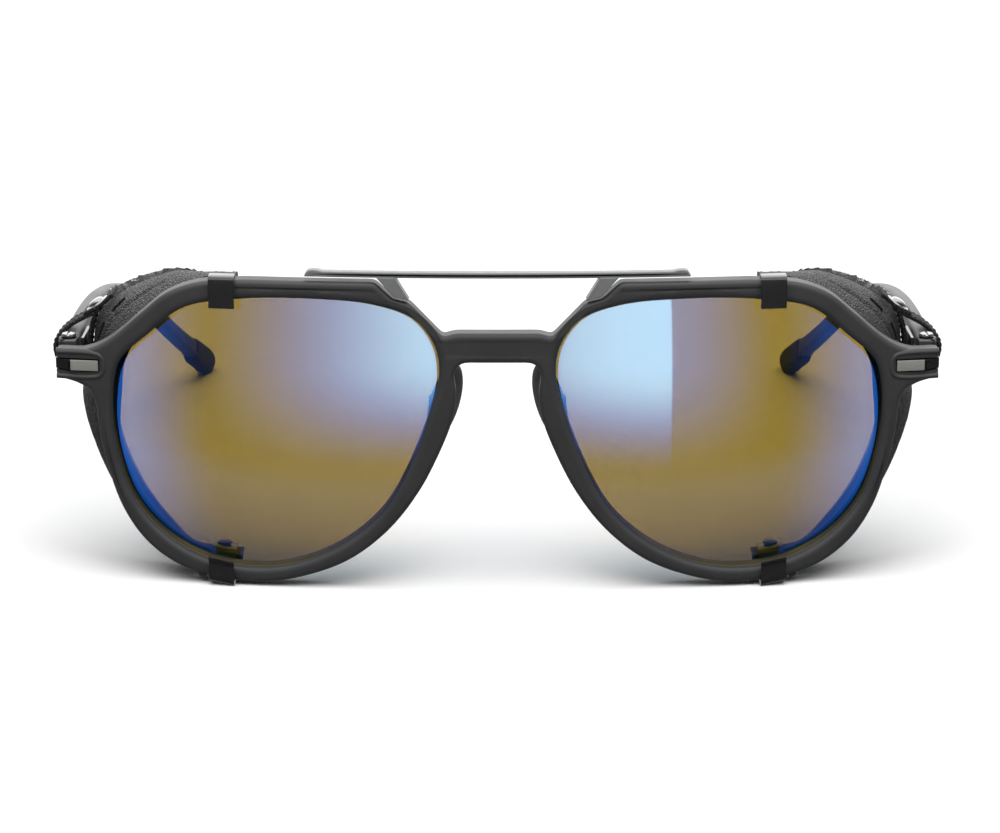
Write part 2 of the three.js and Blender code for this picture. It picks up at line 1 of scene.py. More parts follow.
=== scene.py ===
"""Glacier glasses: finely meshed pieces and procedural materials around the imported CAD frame.

Shapes are worked out in millimetres, with y counted back from the face of the moulded front,
and put into the frame's metres when a piece is made. The left side is +X, the right is its mirror.
"""

import json
import math

import bmesh
import bpy
import numpy as np
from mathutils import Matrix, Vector, noise
from mathutils.geometry import tessellate_polygon

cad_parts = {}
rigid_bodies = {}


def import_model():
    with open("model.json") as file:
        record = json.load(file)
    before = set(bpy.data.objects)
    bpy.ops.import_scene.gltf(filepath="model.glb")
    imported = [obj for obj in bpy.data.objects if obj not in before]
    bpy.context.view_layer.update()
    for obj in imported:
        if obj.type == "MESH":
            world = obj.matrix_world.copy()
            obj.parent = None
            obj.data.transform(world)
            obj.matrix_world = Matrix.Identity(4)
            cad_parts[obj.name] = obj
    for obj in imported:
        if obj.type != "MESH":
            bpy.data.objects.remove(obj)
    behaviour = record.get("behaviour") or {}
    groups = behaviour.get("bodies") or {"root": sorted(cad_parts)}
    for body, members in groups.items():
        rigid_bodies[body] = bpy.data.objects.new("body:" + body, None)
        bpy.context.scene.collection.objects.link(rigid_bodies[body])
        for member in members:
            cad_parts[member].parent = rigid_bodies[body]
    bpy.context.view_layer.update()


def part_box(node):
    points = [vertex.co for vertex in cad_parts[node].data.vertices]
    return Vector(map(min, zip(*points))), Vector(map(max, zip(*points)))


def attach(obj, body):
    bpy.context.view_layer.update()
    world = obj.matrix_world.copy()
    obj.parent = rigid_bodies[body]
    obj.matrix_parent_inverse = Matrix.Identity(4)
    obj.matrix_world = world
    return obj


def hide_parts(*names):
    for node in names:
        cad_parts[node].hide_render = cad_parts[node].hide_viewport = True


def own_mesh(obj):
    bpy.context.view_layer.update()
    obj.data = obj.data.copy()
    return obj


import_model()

MM = 0.001
FRONT_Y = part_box("front_frame")[0][1]  # where the face of the front lies in the frame

# ---- Driving dimensions, in millimetres ----

FACE_FORM_RADIUS = 300
RIM_DEPTH = 4.4
LENS_CENTRE = (36, 25.9)
LENS_EDGE_Y = 1.5
LENS_THICKNESS = 1.8
LENS_LAP = 0.6
DOME_RISE = 2.93
DOME_HALF_WIDTH = 27
DOME_HALF_HEIGHT = 22.7
ENDPIECE_OUT = 72.4
ENDPIECE_TOP = 38.8
ENDPIECE_BOTTOM = 34.1
PLATE_IN = 65.3
PLATE_CORNER = 69.9
PLATE_TOP = 37.25
PLATE_BOTTOM = 35.5
PLATE_PROUD = 0.1
PLATE_THICKNESS = 0.6
PLATE_BEND = 2.4
PLATE_FALL = 0.75
PLATE_BACK = 5.2
BAR_END = 31.2
BAR_BOTTOM = 52.45
BAR_TOP = 53.35
NOSE_PAD_RADII = (1.9, 4.6, 6.6)
NOSE_PAD_CENTRE = (8.6, 7.2, 30.4)
NOSE_PAD_LEAN = 0.42
NOSE_PAD_SPLAY = 0.24
HINGE = (71, 15.6)
HINGE_BOTTOM = 33.8
KNUCKLE_HEIGHT = 1.6
KNUCKLE_GAP = 0.3
KNUCKLE_RADIUS = 1.7
TEMPLE_INNER_X = 69.7
TEMPLE_THICKNESS = 2.8
TEMPLE_FRONT_Y = 18.2
TEMPLE_CURVE_START = 18
TEMPLE_INSWEEP = 0.00068
TIP_START_Y = 134
CLIP_X = 44.6
CLIP_BOTTOM_X = 45.5
CLIP_WIDTH = 4.2
CLIP_SLANT = 0.17
CLIP_SHEET = 0.5
# Name, x, height of the outer face, way in, slant, then how far ahead and in its lip starts.
CLIPS = [
    ("top", CLIP_X, 52.2, -1, 0, [(0, 4.9), (0, 4.6)]),
    ("bottom", CLIP_BOTTOM_X, 0.4, 1, CLIP_SLANT, [(-0.55, 3.75), (-0.25, 3.85), (0, 3.5)]),
]
RIVET_Y = 7.8
STRAP_FRONT_Y = 19.6
STRAP_WIDTH = 4.6
LEATHER = 1.1
LINING = 0.7
LAYER_GAP = 0.35
OUTLINE_STEP = 0.5
SHARP_ANGLE = 38  # degrees
INSET_STRIDE = 0.06
SHIELD_SHARES = 40
SHIELD_EDGE_POINTS = 5
SHIELD_AROUND = 2 * SHIELD_SHARES + SHIELD_EDGE_POINTS
EDGE_DIP = 1.1
EDGE_FLARE = 3.0
BORDER_DEPTH = 0.8
VENT_RADIUS = 0.6
VENT_HALF = 1.7
VENT_SLANT = 0.15 * math.pi / 4
VENTS = [(62.3, 18.0, 43.6, 0.95), (64.9, 18.6, 38.9, 1.25)]  # centre, and lean in radians
SEAM_DEPTH = 0.32
SEAM_PLACE = (0.34, 0.035)  # middle and spread, as shares of the way to the free edge
BORDER_PLACE = (0.99, 0.03)
SAME_POINT = 0.02

LENS_OPENING = [
    [
        (41.5, 48.4), (30, 48.7), (20, 47.9), (13.4, 45.5), (10.1, 41), (9.5, 36), (11.2, 29.5),
        (14.2, 21.5), (18.6, 13.6), (25, 7.8), (32.5, 4.3), (39.5, 3.2), (47.5, 4.2),
        (54.5, 7.8), (59.8, 13.8), (62.5, 22), (63.2, 30), (61.9, 37), (56.8, 42), (51, 46.6),
        (41.5, 48.4),
    ],
]

HALF_FRONT = [
    [(0, 43.4), (6.9, 43.4)],
    [(6.9, 43.4), (8.8, 42.8)],
    [(8.8, 42.8), (14.2, 48.4)],
    [(14.2, 48.4), (16.9, 49.0)],
    [(16.9, 49.0), (19.7, 51.7)],
    [(19.7, 51.7), (41, 51.7)],
    [
        (41, 51.7), (48.7, 51.0), (53.8, 49), (57.7, 45.8), (62.5, 41.6), (65.5, 39.7),
        (68, ENDPIECE_TOP),
    ],
    [(68, ENDPIECE_TOP), (ENDPIECE_OUT, ENDPIECE_TOP)],
    [(ENDPIECE_OUT, ENDPIECE_TOP), (ENDPIECE_OUT, ENDPIECE_BOTTOM)],
    [(ENDPIECE_OUT, ENDPIECE_BOTTOM), (69, 33.3)],
    [(69, 33.3), (66.7, 32.2)],
    [
        (66.7, 32.2), (65.9, 29.6), (65.5, 25.5), (64.3, 19.6), (61.8, 12.3), (58, 6.8),
        (52.5, 2.9), (45.5, 1.1), (38, 0.7), (30.5, 2.3), (23.9, 5.2), (17.7, 10.3), (12.9, 16.6),
        (9.5, 23.2), (7.3, 29.0), (6.7, 33.2), (7.0, 36.6), (6.2, 38.1), (5.2, 38.5),
    ],
    [(5.2, 38.5), (0, 38.5)],
]

TEMPLE_TOP = [
    (TEMPLE_FRONT_Y, 38.7), (25, 39.2), (45, 39.3), (60, 37.8), (75, 34.8), (90, 30.1),
    (105, 23.4), (118, 17.2), (TIP_START_Y, 9.9),
]
TEMPLE_BOTTOM = [
    (TIP_START_Y, 6.1), (118, 13.8), (105, 20), (90, 26.1), (75, 30.4), (60, 33), (45, 34.3),
    (25, 34), (TEMPLE_FRONT_Y, 34.3),
]
TIP_OUTLINE = [
    (TIP_START_Y - 0.3, 10.5), (141, 7.2), (146.5, 4.6), (148.8, 2.4), (147.6, 0.5), (145, 0),
    (140.5, 2.1), (TIP_START_Y - 0.3, 5.2),
]

# Side shield: x and z at the rim, depth there, bow, then x, y and z of the free edge, and how far
# the lining stands in from the leather there.
SHIELD_ROWS = [
    (42.6, 50.2, 5.8, 0.3, 42.6, 13.2, 49.5, 0),
    (46.9, 49.9, 5.6, 0.5, 47.1, 14.4, 49.2, 0),
    (51.5, 48.2, 4.6, 0.8, 52.1, 17.6, 49.2, 0),
    (56, 45.2, 4.6, 0.9, 57.4, 21.8, 47.3, 0),
    (59.6, 41.3, 4.6, 1.1, 62.2, 25.0, 44.8, 0),
    (62.2, 36.8, 4.6, 1.1, 65.9, 27.6, 41.9, 0.3),
    (63, 31, 4.6, 1.2, 67.5, 28.5, 34.0, 1.0),
    (63.4, 25, 4.6, 1.2, 69.2, 26.5, 27.5, 2.6),
    (62.4, 19, 4.6, 1.1, 66.2, 23.0, 19.0, 1.5),
    (59.8, 13, 4.6, 0.8, 61.6, 18.5, 11.8, 1.1),
    (55.3, 7.8, 4.6, 0.5, 56.2, 15.5, 6.2, 0.9),
    (51, 4.6, 5.2, 0.4, 51.3, 13.6, 3.6, 0),
    (46.9, 3.1, 5.8, 0.3, 47, 13.2, 2.7, 0),
    (42.6, 2.4, 5.8, 0.3, 42.6, 13.0, 2.3, 0),
]

STRAP_OUTER = [
    (66.3, 43.1), (68.6, 42.0), (70.9, 40.8), (72.7, 39.4), (73.9, 37.9), (74.25, 36.4),
    (74.0, 34.8), (73.0, 33.2), (71.5, 32.7), (69.4, 32.8), (68.3, 33.6), (68.0, 36),
    (67.8, 38.3), (67.2, 40.8),
]
STRAP_THICKNESS = 0.65
TONGUE = [(68.9, 42.0), (66.5, 43.3), (64.0, 45.4)]
SNAP_CENTRE = (67.0, 21.9, 43.5)
SNAP_LEAN = 0.6
SNAP_PROFILE = [
    (0, -0.65), (2.1, -0.65), (2.25, -0.5), (2.25, -0.1), (2.1, 0.08), (1.75, 0.12),
    (1.65, 0.02), (1.5, 0.0), (1.42, 0.15), (1.3, 0.42), (0.95, 0.62), (0.5, 0.72), (0, 0.74),
]

# ---- Camera and light: the camera in millimetres and degrees, the wall in metres ----

CAMERA_AHEAD = 530
CAMERA_HEIGHT = 172
CAMERA_TILT = 15.06
CAMERA_LENS = 122
CAMERA_SHIFT = (0.0025, 0.002)
FLOOR_HALF = 3.0
FLOOR_COLOUR = (0.98, 0.98, 0.98, 1)
# Name, place and target in millimetres, size in metres, watts, and the names of what it lights.
LIGHTS = [
    ("front_softbox", (0, -50, 125), (0, 0, 45), (0.36, 0.08), 0.24,
     ("front", "brow", "endpiece", "clip", "nose", "hinge")),
    ("temple_softbox", (0, 70, 230), (0, 70, 20), (0.12, 0.2), 0.5, ("temple",)),
    ("shield_softbox", (0, 70, 260), (0, 20, 45), (0.3, 0.1), 3.2, ("shield_",)),
]
LENS_TINT_DARK = (0.72, 0.595, 0.255)
LENS_TINT_LIGHT = (0.73, 0.605, 0.265)
LENS_MIRROR = (0.25, 0.6, 1.0)
MIRROR_SHARE = 0.3
WALL_HALF = 0.26
WALL_LOW = -0.16
WALL_HIGH = 0.2
WALL_AHEAD = 0.05
SOFTBOX_EDGE = 0.0335
SOFTBOX_STRENGTH = 2.87
EDGE_BLUR = 0.0012
SOFTBOX_FADE = (-0.09, 0.03)  # a fade goes from nothing at its first place to full at its second
WALL_FADE = (-0.005, 0.042)
DIM_FADE = (0.078, 0.032)
DIM_SHARE = 0.36
SIDE_FADE = (0.076, 0.132)
SIDE_FADE_UP = (-0.1, 0.015)
SIDE_SHARE = 0.38
LOW_FADE = (0.006, -0.012)
LOW_SHARE = 0.06
WALL_BLUE = (0.0, 0.3, 1.0)
WALL_PALE = (0.8, 0.87, 1.0)
SKY_WAY = (-0.37, 0.93)  # y and z of the way to the brightest sky
SKY_START = 0.72
SKY_STRENGTH = 4.6
SKY_LEAST = 0.1
BEHIND_STRENGTH = 2.2  # mirrored only, as are the next two
ABOVE_STRENGTH = 1.6
MIRRORED_LEAST = 0.15


# ---- Camera ----


def placed(name, data):
    """A new object in the scene."""
    made = bpy.data.objects.new(name, data)
    bpy.context.collection.objects.link(made)
    return made


def make_camera():
    """The view from in front of the glasses and above them, tilted down."""
    data = bpy.data.cameras.new("camera")
    data.lens = CAMERA_LENS
    data.shift_x, data.shift_y = CAMERA_SHIFT
    camera = placed("camera", data)
    camera.location = (0, FRONT_Y - CAMERA_AHEAD * MM, CAMERA_HEIGHT * MM)
    camera.rotation_euler = (math.radians(90 - CAMERA_TILT), 0, 0)
    bpy.context.scene.camera = camera


make_camera()


# ---- Outlines ----


def spline(knots, steps, closed=False):
    """Points on a centripetal Catmull-Rom curve through the knots."""
    ends = [np.array(k, float) for k in knots]
    if closed:
        ring = [ends[-1], *ends, ends[0], ends[1]]
    else:
        ring = [2 * ends[0] - ends[1], *ends, 2 * ends[-1] - ends[-2]]
    points = []
    for before, start, end, after in zip(ring, ring[1:], ring[2:], ring[3:]):
        gap_in = np.linalg.norm(start - before) ** 0.5
        gap = np.linalg.norm(end - start) ** 0.5
        gap_out = np.linalg.norm(after - end) ** 0.5
        leave = gap * ((start - before) / gap_in - (end - before) / (gap_in + gap)) + end - start
        arrive = gap * ((after - end) / gap_out - (after - start) / (gap + gap_out)) + end - start
        for i in range(steps):
            t = i / steps
            points.append(
                (2 * t**3 - 3 * t**2 + 1) * start
                + (t**3 - 2 * t**2 + t) * leave
                + (3 * t**2 - 2 * t**3) * end
                + (t**3 - t**2) * arrive
            )
    if not closed:
        points.append(ends[-1])
    return points


def trace(stretches, steps=12):
    """One list of points from stretches of knots: two knots are a straight edge."""
    points = []
    for stretch in stretches:
        first, last = np.array(stretch[0], float), np.array(stretch[-1], float)
        if np.linalg.norm(first - last) < 1e-6:
            points += spline(stretch[:-1], steps, closed=True)
        elif len(stretch) > 2:
            points += spline(stretch, steps)[:-1]
        else:
            points.append(first)
    if len(stretches) > 1:
        points.append(np.array(stretches[-1][-1], float))
    return np.array(points)


def turning_left(points):
    """The same closed outline, anticlockwise."""
    points = np.asarray(points, float)
    following = np.roll(points, -1, axis=0)
    area = (points[:, 0] * following[:, 1] - following[:, 0] * points[:, 1]).sum()
    return points if area > 0 else points[::-1]


def evenly(points, step=OUTLINE_STEP):
    """A closed outline with its points about a step apart."""
    ring = np.vstack([points, points[:1]])
    lengths = np.linalg.norm(np.diff(ring, axis=0), axis=1)
    along = np.concatenate([[0], np.cumsum(lengths)])
    count = max(12, round(along[-1] / step))
    wanted = np.arange(count) * along[-1] / count
    return np.column_stack([np.interp(wanted, along, ring[:, i]) for i in range(2)])


def softened(points, width=0.6, step=OUTLINE_STEP):
    """An even outline with its corners rounded by a moving average of the given width."""
    ring = evenly(points, step)
    reach = max(1, round(3 * width / step))
    shifts = range(-reach, reach + 1)
    weights = [math.exp(-0.5 * (shift * step / width) ** 2) for shift in shifts]
    total = sum(w * np.roll(ring, shift, axis=0) for w, shift in zip(weights, shifts))
    return total / sum(weights)


def moved_in(loop, distance):
    """A closed outline moved to its left: inwards for one that turns left.

    It moves in small strides, and an edge that would turn over shrinks to a point instead.
    """
    strides = math.ceil(abs(distance) / INSET_STRIDE)
    for _ in range(strides):
        edges = np.roll(loop, -1, axis=0) - loop
        lengths = np.linalg.norm(edges, axis=1)
        group = np.cumsum(np.roll(lengths, 1) > SAME_POINT) - 1
        group[group < 0] = group.max()
        corners = np.array([loop[np.argmax(group == g)] for g in range(group.max() + 1)])
        edges = np.roll(corners, -1, axis=0) - corners
        leaving = edges / np.linalg.norm(edges, axis=1)[:, None]
        along = np.roll(leaving, 1, axis=0) + leaving
        reach = 1 + (np.roll(leaving, 1, axis=0) * leaving).sum(axis=1)
        reach = distance / strides / np.maximum(reach, 1)
        moved = corners + reach[:, None] * np.column_stack([-along[:, 1], along[:, 0]])
        for i in np.flatnonzero(((np.roll(moved, -1, axis=0) - moved) * edges).sum(axis=1) <= 0):
            after = (i + 1) % len(moved)
            moved[i] = moved[after] = (moved[i] + moved[after]) / 2
        loop = moved[group]
    return loop


# ---- Solids: each is (points, faces) ----


def joined(*solids):
    points, faces = [], []
    for solid_points, solid_faces in solids:
        faces += [tuple(i + len(points) for i in face) for face in solid_faces]
        points += [tuple(p) for p in solid_points]
    return points, faces


def quads(rings, around, start=0):
    """Faces between neighbouring rings of points."""
    faces = []
    for ring in range(rings - 1):
        for i in range(around):
            a = start + ring * around + i
            b = start + ring * around + (i + 1) % around
            faces.append((a, b, b + around, a + around))
    return faces


def tube(points, around):
    """A solid from rings of points, with a cap on each end."""
    last = len(points) - around
    caps = [tuple(range(start, start + around)) for start in (0, last)]
    return points, [*quads(len(points) // around, around), *caps]


def spheroid(radii, sides, rings):
    """An egg round the origin, with small flat poles along Z."""
    points = []
    for ring in range(1, rings):
        tilt = math.pi * ring / rings
        for i in range(sides):
            angle = 2 * math.pi * i / sides
            points.append((radii[0] * math.sin(tilt) * math.cos(angle),
                           radii[1] * math.sin(tilt) * math.sin(angle),
                           radii[2] * math.cos(tilt)))
    return tube(points, sides)


def reshaped(solid, move):
    return [move(*p) for p in solid[0]], solid[1]


def mirrored(solid):
    return [(-x, y, z) for x, y, z in solid[0]], [tuple(reversed(face)) for face in solid[1]]


def rounded_side(low, high, near, far, steps):
    """The side of a plate or a cylinder with rounded edges, as (inset, depth) pairs."""
    quarter = [math.pi / 2 * i / steps for i in range(steps + 1)]
    return [
        *((near * (1 - math.sin(a)), low + near * (1 - math.cos(a))) for a in quarter),
        *((far * (1 - math.cos(a)), high - far * (1 - math.sin(a))) for a in quarter),
    ]


def rounded_plate(loops, low, high, round_low, round_high, steps=5):
    """A plate with rounded edges. loops[0] is its outline and the others are its holes.

    A point is (u, v, depth). round_low and round_high are the edge radii, one for each loop.
    """
    points, faces, caps = [], [], ([], [])
    for number, loop in enumerate(loops):
        near, far = round_low[number], round_high[number]
        loop = turning_left(loop)
        if number:
            loop = loop[::-1]
        side = rounded_side(low, high, near, far, steps)
        profile = [(1.25 * near, low), *side, (1.25 * far, high)]
        start, count = len(points), len(loop)
        for inset, depth in profile:
            points += [(u, v, depth) for u, v in moved_in(loop, inset)]
        faces += quads(len(profile), count, start)
        caps[0].append(range(start, start + count))
        last = start + (len(profile) - 1) * count
        caps[1].append(range(last, last + count))
    for cap in caps:
        rings = [[Vector((points[i][0], points[i][1], 0)) for i in ring] for ring in cap]
        numbers = [i for ring in cap for i in ring]
        for triangle in tessellate_polygon(rings):
            faces.append(tuple(numbers[i] for i in triangle))
    return points, faces


def facing_front(solid):
    """From (x, z, depth) to a solid bent round the face."""
    return reshaped(solid, lambda u, v, depth: (u, depth + face_form(u), v))


def facing_side(solid):
    """From (y, z, x) to x, y, z."""
    return reshaped(solid, lambda u, v, depth: (depth, u, v))


def face_form(x):
    return x * x / (2 * FACE_FORM_RADIUS)


def swept_in(x, y, z):
    """Bends a straight temple inwards towards its tip."""
    return x - TEMPLE_INSWEEP * max(0, y - TEMPLE_CURVE_START) ** 2, y, z


def rounded_box(low, high, radius):
    """A block with rounded edges all round its plan and softer top and bottom edges."""
    plan = [(low[0], low[1]), (high[0], low[1]), (high[0], high[1]), (low[0], high[1])]
    plan = softened(np.array(plan, float), radius * 0.6, step=radius * 0.6)
    return rounded_plate([plan], low[2], high[2], [radius * 0.7], [radius * 0.7], 3)


def turned(profile, centre, sides=48):
    """A solid turned about an upright axis from (radius, height) pairs that start and end on it."""
    points, faces = [], []
    rings = []
    for radius, height in profile:
        if radius == 0:
            rings.append([len(points)])
            points.append((centre[0], centre[1], height))
            continue
        rings.append(list(range(len(points), len(points) + sides)))
        for i in range(sides):
            angle = 2 * math.pi * i / sides
            points.append(
                (centre[0] + radius * math.cos(angle), centre[1] + radius * math.sin(angle), height)
            )
    for lower, upper in zip(rings, rings[1:]):
        for i in range(sides):
            j = (i + 1) % sides
            if len(lower) == 1:
                faces.append((lower[0], upper[j], upper[i]))
            elif len(upper) == 1:
                faces.append((lower[i], lower[j], upper[0]))
            else:
                faces.append((lower[i], lower[j], upper[j], upper[i]))
    return points, faces


def barrel(radius, bottom, top, centre, edge=0.15):
    """A cylinder with rounded ends."""
    side = [(radius - inset, height) for inset, height in rounded_side(bottom, top, edge, edge, 4)]
    return turned([(0, bottom), *side, (0, top)], centre)


# ---- Making pieces ----


def solid_mesh(name, solid):
    mesh = bpy.data.meshes.new(name)
    mesh.from_pydata([(x * MM, y * MM + FRONT_Y, z * MM) for x, y, z in solid[0]], [], solid[1])
    clean = bmesh.new()
    clean.from_mesh(mesh)
    bmesh.ops.remove_doubles(clean, verts=clean.verts, dist=1e-7)
    bmesh.ops.recalc_face_normals(clean, faces=clean.faces)
    clean.to_mesh(mesh)
    clean.free()
    return mesh


def make(name, solid, material, body, nodes=(), sharp=SHARP_ANGLE):
    """A Blender object from a solid, riding on a body and standing for CAD nodes."""
    mesh = solid_mesh(name, solid)
    mesh.shade_smooth()
    mesh.set_sharp_from_angle(angle=math.radians(sharp))
    mesh.materials.append(material)
    piece = placed(name, mesh)
    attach(piece, body)
    if nodes:
        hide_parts(*nodes)
    return piece


def even_normals(piece):
    """Shades large flat faces flat, next to their rounded edges."""
    modifier = piece.modifiers.new("even normals", "WEIGHTED_NORMAL")
    modifier.keep_sharp = True
    modifier.weight = 80


def make_pair(name, solid, material, body, nodes=(), sharp=SHARP_ANGLE, after=None):
    """The piece on both sides. In body and in nodes, SIDE stands for left or right."""
    pair = []
    for side, shape in (("left", solid), ("right", mirrored(solid))):
        there = [node.replace("SIDE", side) for node in nodes]
        piece = make(
            f"{name}_{side}", shape, material, body.replace("SIDE", side), there, sharp
        )
        if after:
            after(piece)
        pair.append(piece)
    return pair


def carved(piece, solids):
    """Cuts solids out of a piece."""
    cutters = []
    for solid in solids:
        cutter = placed("cutter", solid_mesh("cutter", solid))
        cutters.append(cutter)
        modifier = piece.modifiers.new("cut", "BOOLEAN")
        modifier.operation = "DIFFERENCE"
        modifier.solver = "EXACT"
        modifier.object = cutter
    graph = bpy.context.evaluated_depsgraph_get()
    graph.update()
    cut = bpy.data.meshes.new_from_object(piece.evaluated_get(graph))
    piece.modifiers.clear()
    old = piece.data
    piece.data = cut
    bpy.data.meshes.remove(old)
    for cutter in cutters:
        bpy.data.objects.remove(cutter)
    cut.shade_smooth()
    cut.set_sharp_from_angle(angle=math.radians(SHARP_ANGLE))


# ---- Materials ----


def grey(level):
    return (level, level, level)


def new_material(name, **settings):
    """A Principled material: settings give its sockets, with _ for a space in their names."""
    material = bpy.data.materials.new(name)
    material.use_nodes = True
    shader = material.node_tree.nodes["Principled BSDF"]
    for key, value in settings.items():
        socket = shader.inputs[key.replace("_", " ").title().replace("Ior", "IOR")]
        if isinstance(value, tuple):
            value = (*value, 1)
        socket.default_value = value
    return material, material.node_tree, shader


def node(tree, kind, **settings):
    made = tree.nodes.new(kind)
    for key, value in settings.items():
        if hasattr(made, key):
            setattr(made, key, value)
        else:
            made.inputs[key.replace("_", " ").title()].default_value = value
    return made


def bare_material(name):
    """A material with nothing wired to its output yet."""
    material = bpy.data.materials.new(name)
    material.use_nodes = True
    tree = material.node_tree
    tree.nodes.remove(tree.nodes["Principled BSDF"])
    return material, tree, tree.nodes["Material Output"].inputs["Surface"]


def object_place(tree, scale=(1, 1, 1)):
    """Places on the object, in metres, stretched by scale."""
    place = node(tree, "ShaderNodeTexCoord")
    stretch = node(tree, "ShaderNodeMapping")
    stretch.inputs["Scale"].default_value = scale
    tree.links.new(place.outputs["Object"], stretch.inputs["Vector"])
    return stretch.outputs["Vector"]


def noise_of(tree, place, scale, detail=3.0, roughness=0.5):
    made = node(tree, "ShaderNodeTexNoise", scale=scale, detail=detail, roughness=roughness)
    tree.links.new(place, made.inputs["Vector"])
    return made.outputs["Fac"]


def ranged(tree, value, low, high, from_low=0.3, from_high=0.7, kind="LINEAR"):
    made = node(tree, "ShaderNodeMapRange", interpolation_type=kind)
    made.inputs["From Min"].default_value = from_low
    made.inputs["From Max"].default_value = from_high
    made.inputs["To Min"].default_value = low
    made.inputs["To Max"].default_value = high
    tree.links.new(value, made.inputs["Value"])
    return made.outputs["Result"]


def blended(tree, value, dark, light):
    made = node(tree, "ShaderNodeMix", data_type="RGBA")
    made.inputs[6].default_value = (*dark, 1)
    made.inputs[7].default_value = (*light, 1)
    tree.links.new(value, made.inputs[0])
    return made.outputs[2]


def bumped(tree, shader, height, distance, strength=1.0):
    made = node(tree, "ShaderNodeBump", strength=strength, distance=distance)
    tree.links.new(height, made.inputs["Height"])
    tree.links.new(made.outputs["Normal"], shader.inputs["Normal"])


def mottled(name, colours, roughness, broad, fine, bump, **settings):
    """A surface with faint broad patches in its colour and gloss, and a fine grain."""
    material, tree, shader = new_material(name, **settings)
    place = object_place(tree)
    patches = noise_of(tree, place, *broad)
    tree.links.new(blended(tree, patches, *colours), shader.inputs["Base Color"])
    tree.links.new(ranged(tree, patches, *roughness), shader.inputs["Roughness"])
    bumped(tree, shader, noise_of(tree, place, *fine), *bump)
    return material


def moulded_plastic(name, dark, light):
    """Matte moulded nylon with a very fine texture."""
    return mottled(name, (dark, light), (0.46, 0.54), (160, 2), (5200, 4), (0.00002, 0.5),
                   specular_ior_level=0.4)


def satin_metal(name, dark, light, roughness, metallic):
    """Painted or plated metal with faint mottling."""
    return mottled(name, (dark, light), (roughness - 0.04, roughness + 0.05), (700, 3), (6000, 2),
                   (0.00001, 0.3), metallic=metallic)


def brushed_metal(name, dark, light, roughness, metallic=1.0):
    """Metal brushed along X."""
    material, tree, shader = new_material(name, metallic=metallic)
    place = object_place(tree, (60, 4000, 9000))
    lines = noise_of(tree, place, 1, 3)
    tree.links.new(blended(tree, lines, dark, light), shader.inputs["Base Color"])
    tree.links.new(ranged(tree, lines, roughness - 0.07, roughness + 0.08), shader.inputs["Roughness"])
    bumped(tree, shader, lines, 0.00001, 0.4)
    return material


def leather(name, dark, light, roughness, grain_scale, depth):
    """Pebbled leather: small cells with creases between them, coloured darker in the creases as painted
    shade and lighter on the cell tops as painted sheen.
    """
    material, tree, shader = new_material(name, specular_ior_level=0.1)
    place = object_place(tree)
    warp = node(tree, "ShaderNodeTexNoise", scale=900, detail=2)
    tree.links.new(place, warp.inputs["Vector"])
    shifted = node(tree, "ShaderNodeVectorMath", operation="MULTIPLY_ADD")
    shifted.inputs[1].default_value = (0.0004, 0.0004, 0.0004)
    tree.links.new(warp.outputs["Color"], shifted.inputs[0])
    tree.links.new(place, shifted.inputs[2])
    cells = node(tree, "ShaderNodeTexVoronoi", feature="DISTANCE_TO_EDGE", scale=grain_scale)
    tree.links.new(shifted.outputs[0], cells.inputs["Vector"])
    pebbles = ranged(tree, cells.outputs["Distance"], 0, 1, 0, 0.35)
    fine = noise_of(tree, place, 7000, 4)
    height = node(tree, "ShaderNodeMath", operation="MULTIPLY_ADD")
    height.inputs[1].default_value = 0.35
    tree.links.new(fine, height.inputs[0])
    tree.links.new(pebbles, height.inputs[2])
    # The colour follows the cells: painted shade in the creases and painted sheen on the pebble tops.
    tree.links.new(blended(tree, pebbles, dark, light), shader.inputs["Base Color"])
    tree.links.new(ranged(tree, pebbles, roughness + 0.15, roughness - 0.05, 0, 1),
                   shader.inputs["Roughness"])
    bumped(tree, shader, height.outputs[0], depth, 1.0)
    return material


def mirrored_lens():
    """Amber glass with a blue mirror coating: it passes amber light and mirrors mostly blue."""
    material, tree, surface = bare_material("mirrored_lens")
    passed = node(tree, "ShaderNodeBsdfTransparent")
    haze = noise_of(tree, object_place(tree), 30, 1)
    tint = blended(tree, haze, LENS_TINT_DARK, LENS_TINT_LIGHT)
    tree.links.new(tint, passed.inputs["Color"])
    coating = node(tree, "ShaderNodeBsdfGlossy")
    coating.inputs["Color"].default_value = (*LENS_MIRROR, 1)
    coating.inputs["Roughness"].default_value = 0.03
    share = node(tree, "ShaderNodeLayerWeight")
    share.inputs["Blend"].default_value = 0.25
    mirror_share = ranged(tree, share.outputs["Fresnel"], MIRROR_SHARE, 0.9, 0, 1)
    mix = node(tree, "ShaderNodeMixShader")
    tree.links.new(mirror_share, mix.inputs[0])
    tree.links.new(passed.outputs[0], mix.inputs[1])
    tree.links.new(coating.outputs[0], mix.inputs[2])
    tree.links.new(mix.outputs[0], surface)
    return material


PLASTIC = moulded_plastic("moulded_plastic", (0.019, 0.019, 0.02), grey(0.025))
# A lighter grey copy of the frame's matte black plastic: the lift is painted sheen for the light the
# arms catch.
ARM_PLASTIC_PAINTED_SHEEN = moulded_plastic("temple_plastic", grey(0.05), grey(0.06))
BAR_PAINT = satin_metal("bar_paint", (0.085, 0.086, 0.088), (0.1, 0.101, 0.103), 0.36, 0.0)
PLATE_METAL = brushed_metal("brushed_plate", (0.14, 0.14, 0.125), (0.24, 0.24, 0.22), 0.4, 0.3)
HINGE_STEEL = brushed_metal("hinge_steel", grey(0.3), grey(0.42), 0.33)
CLIP_BLACK = satin_metal("clip_black", grey(0.011), grey(0.015), 0.14, 0.0)
SNAP_NICKEL = satin_metal("snap_nickel", grey(0.3), grey(0.4), 0.16, 0.95)
GLOSS_BLACK = satin_metal("gloss_black", grey(0.004), grey(0.006), 0.16, 0.0)
HIDE = leather("grained_hide", grey(0.008), grey(0.045), 0.48, 2300, 0.00016)
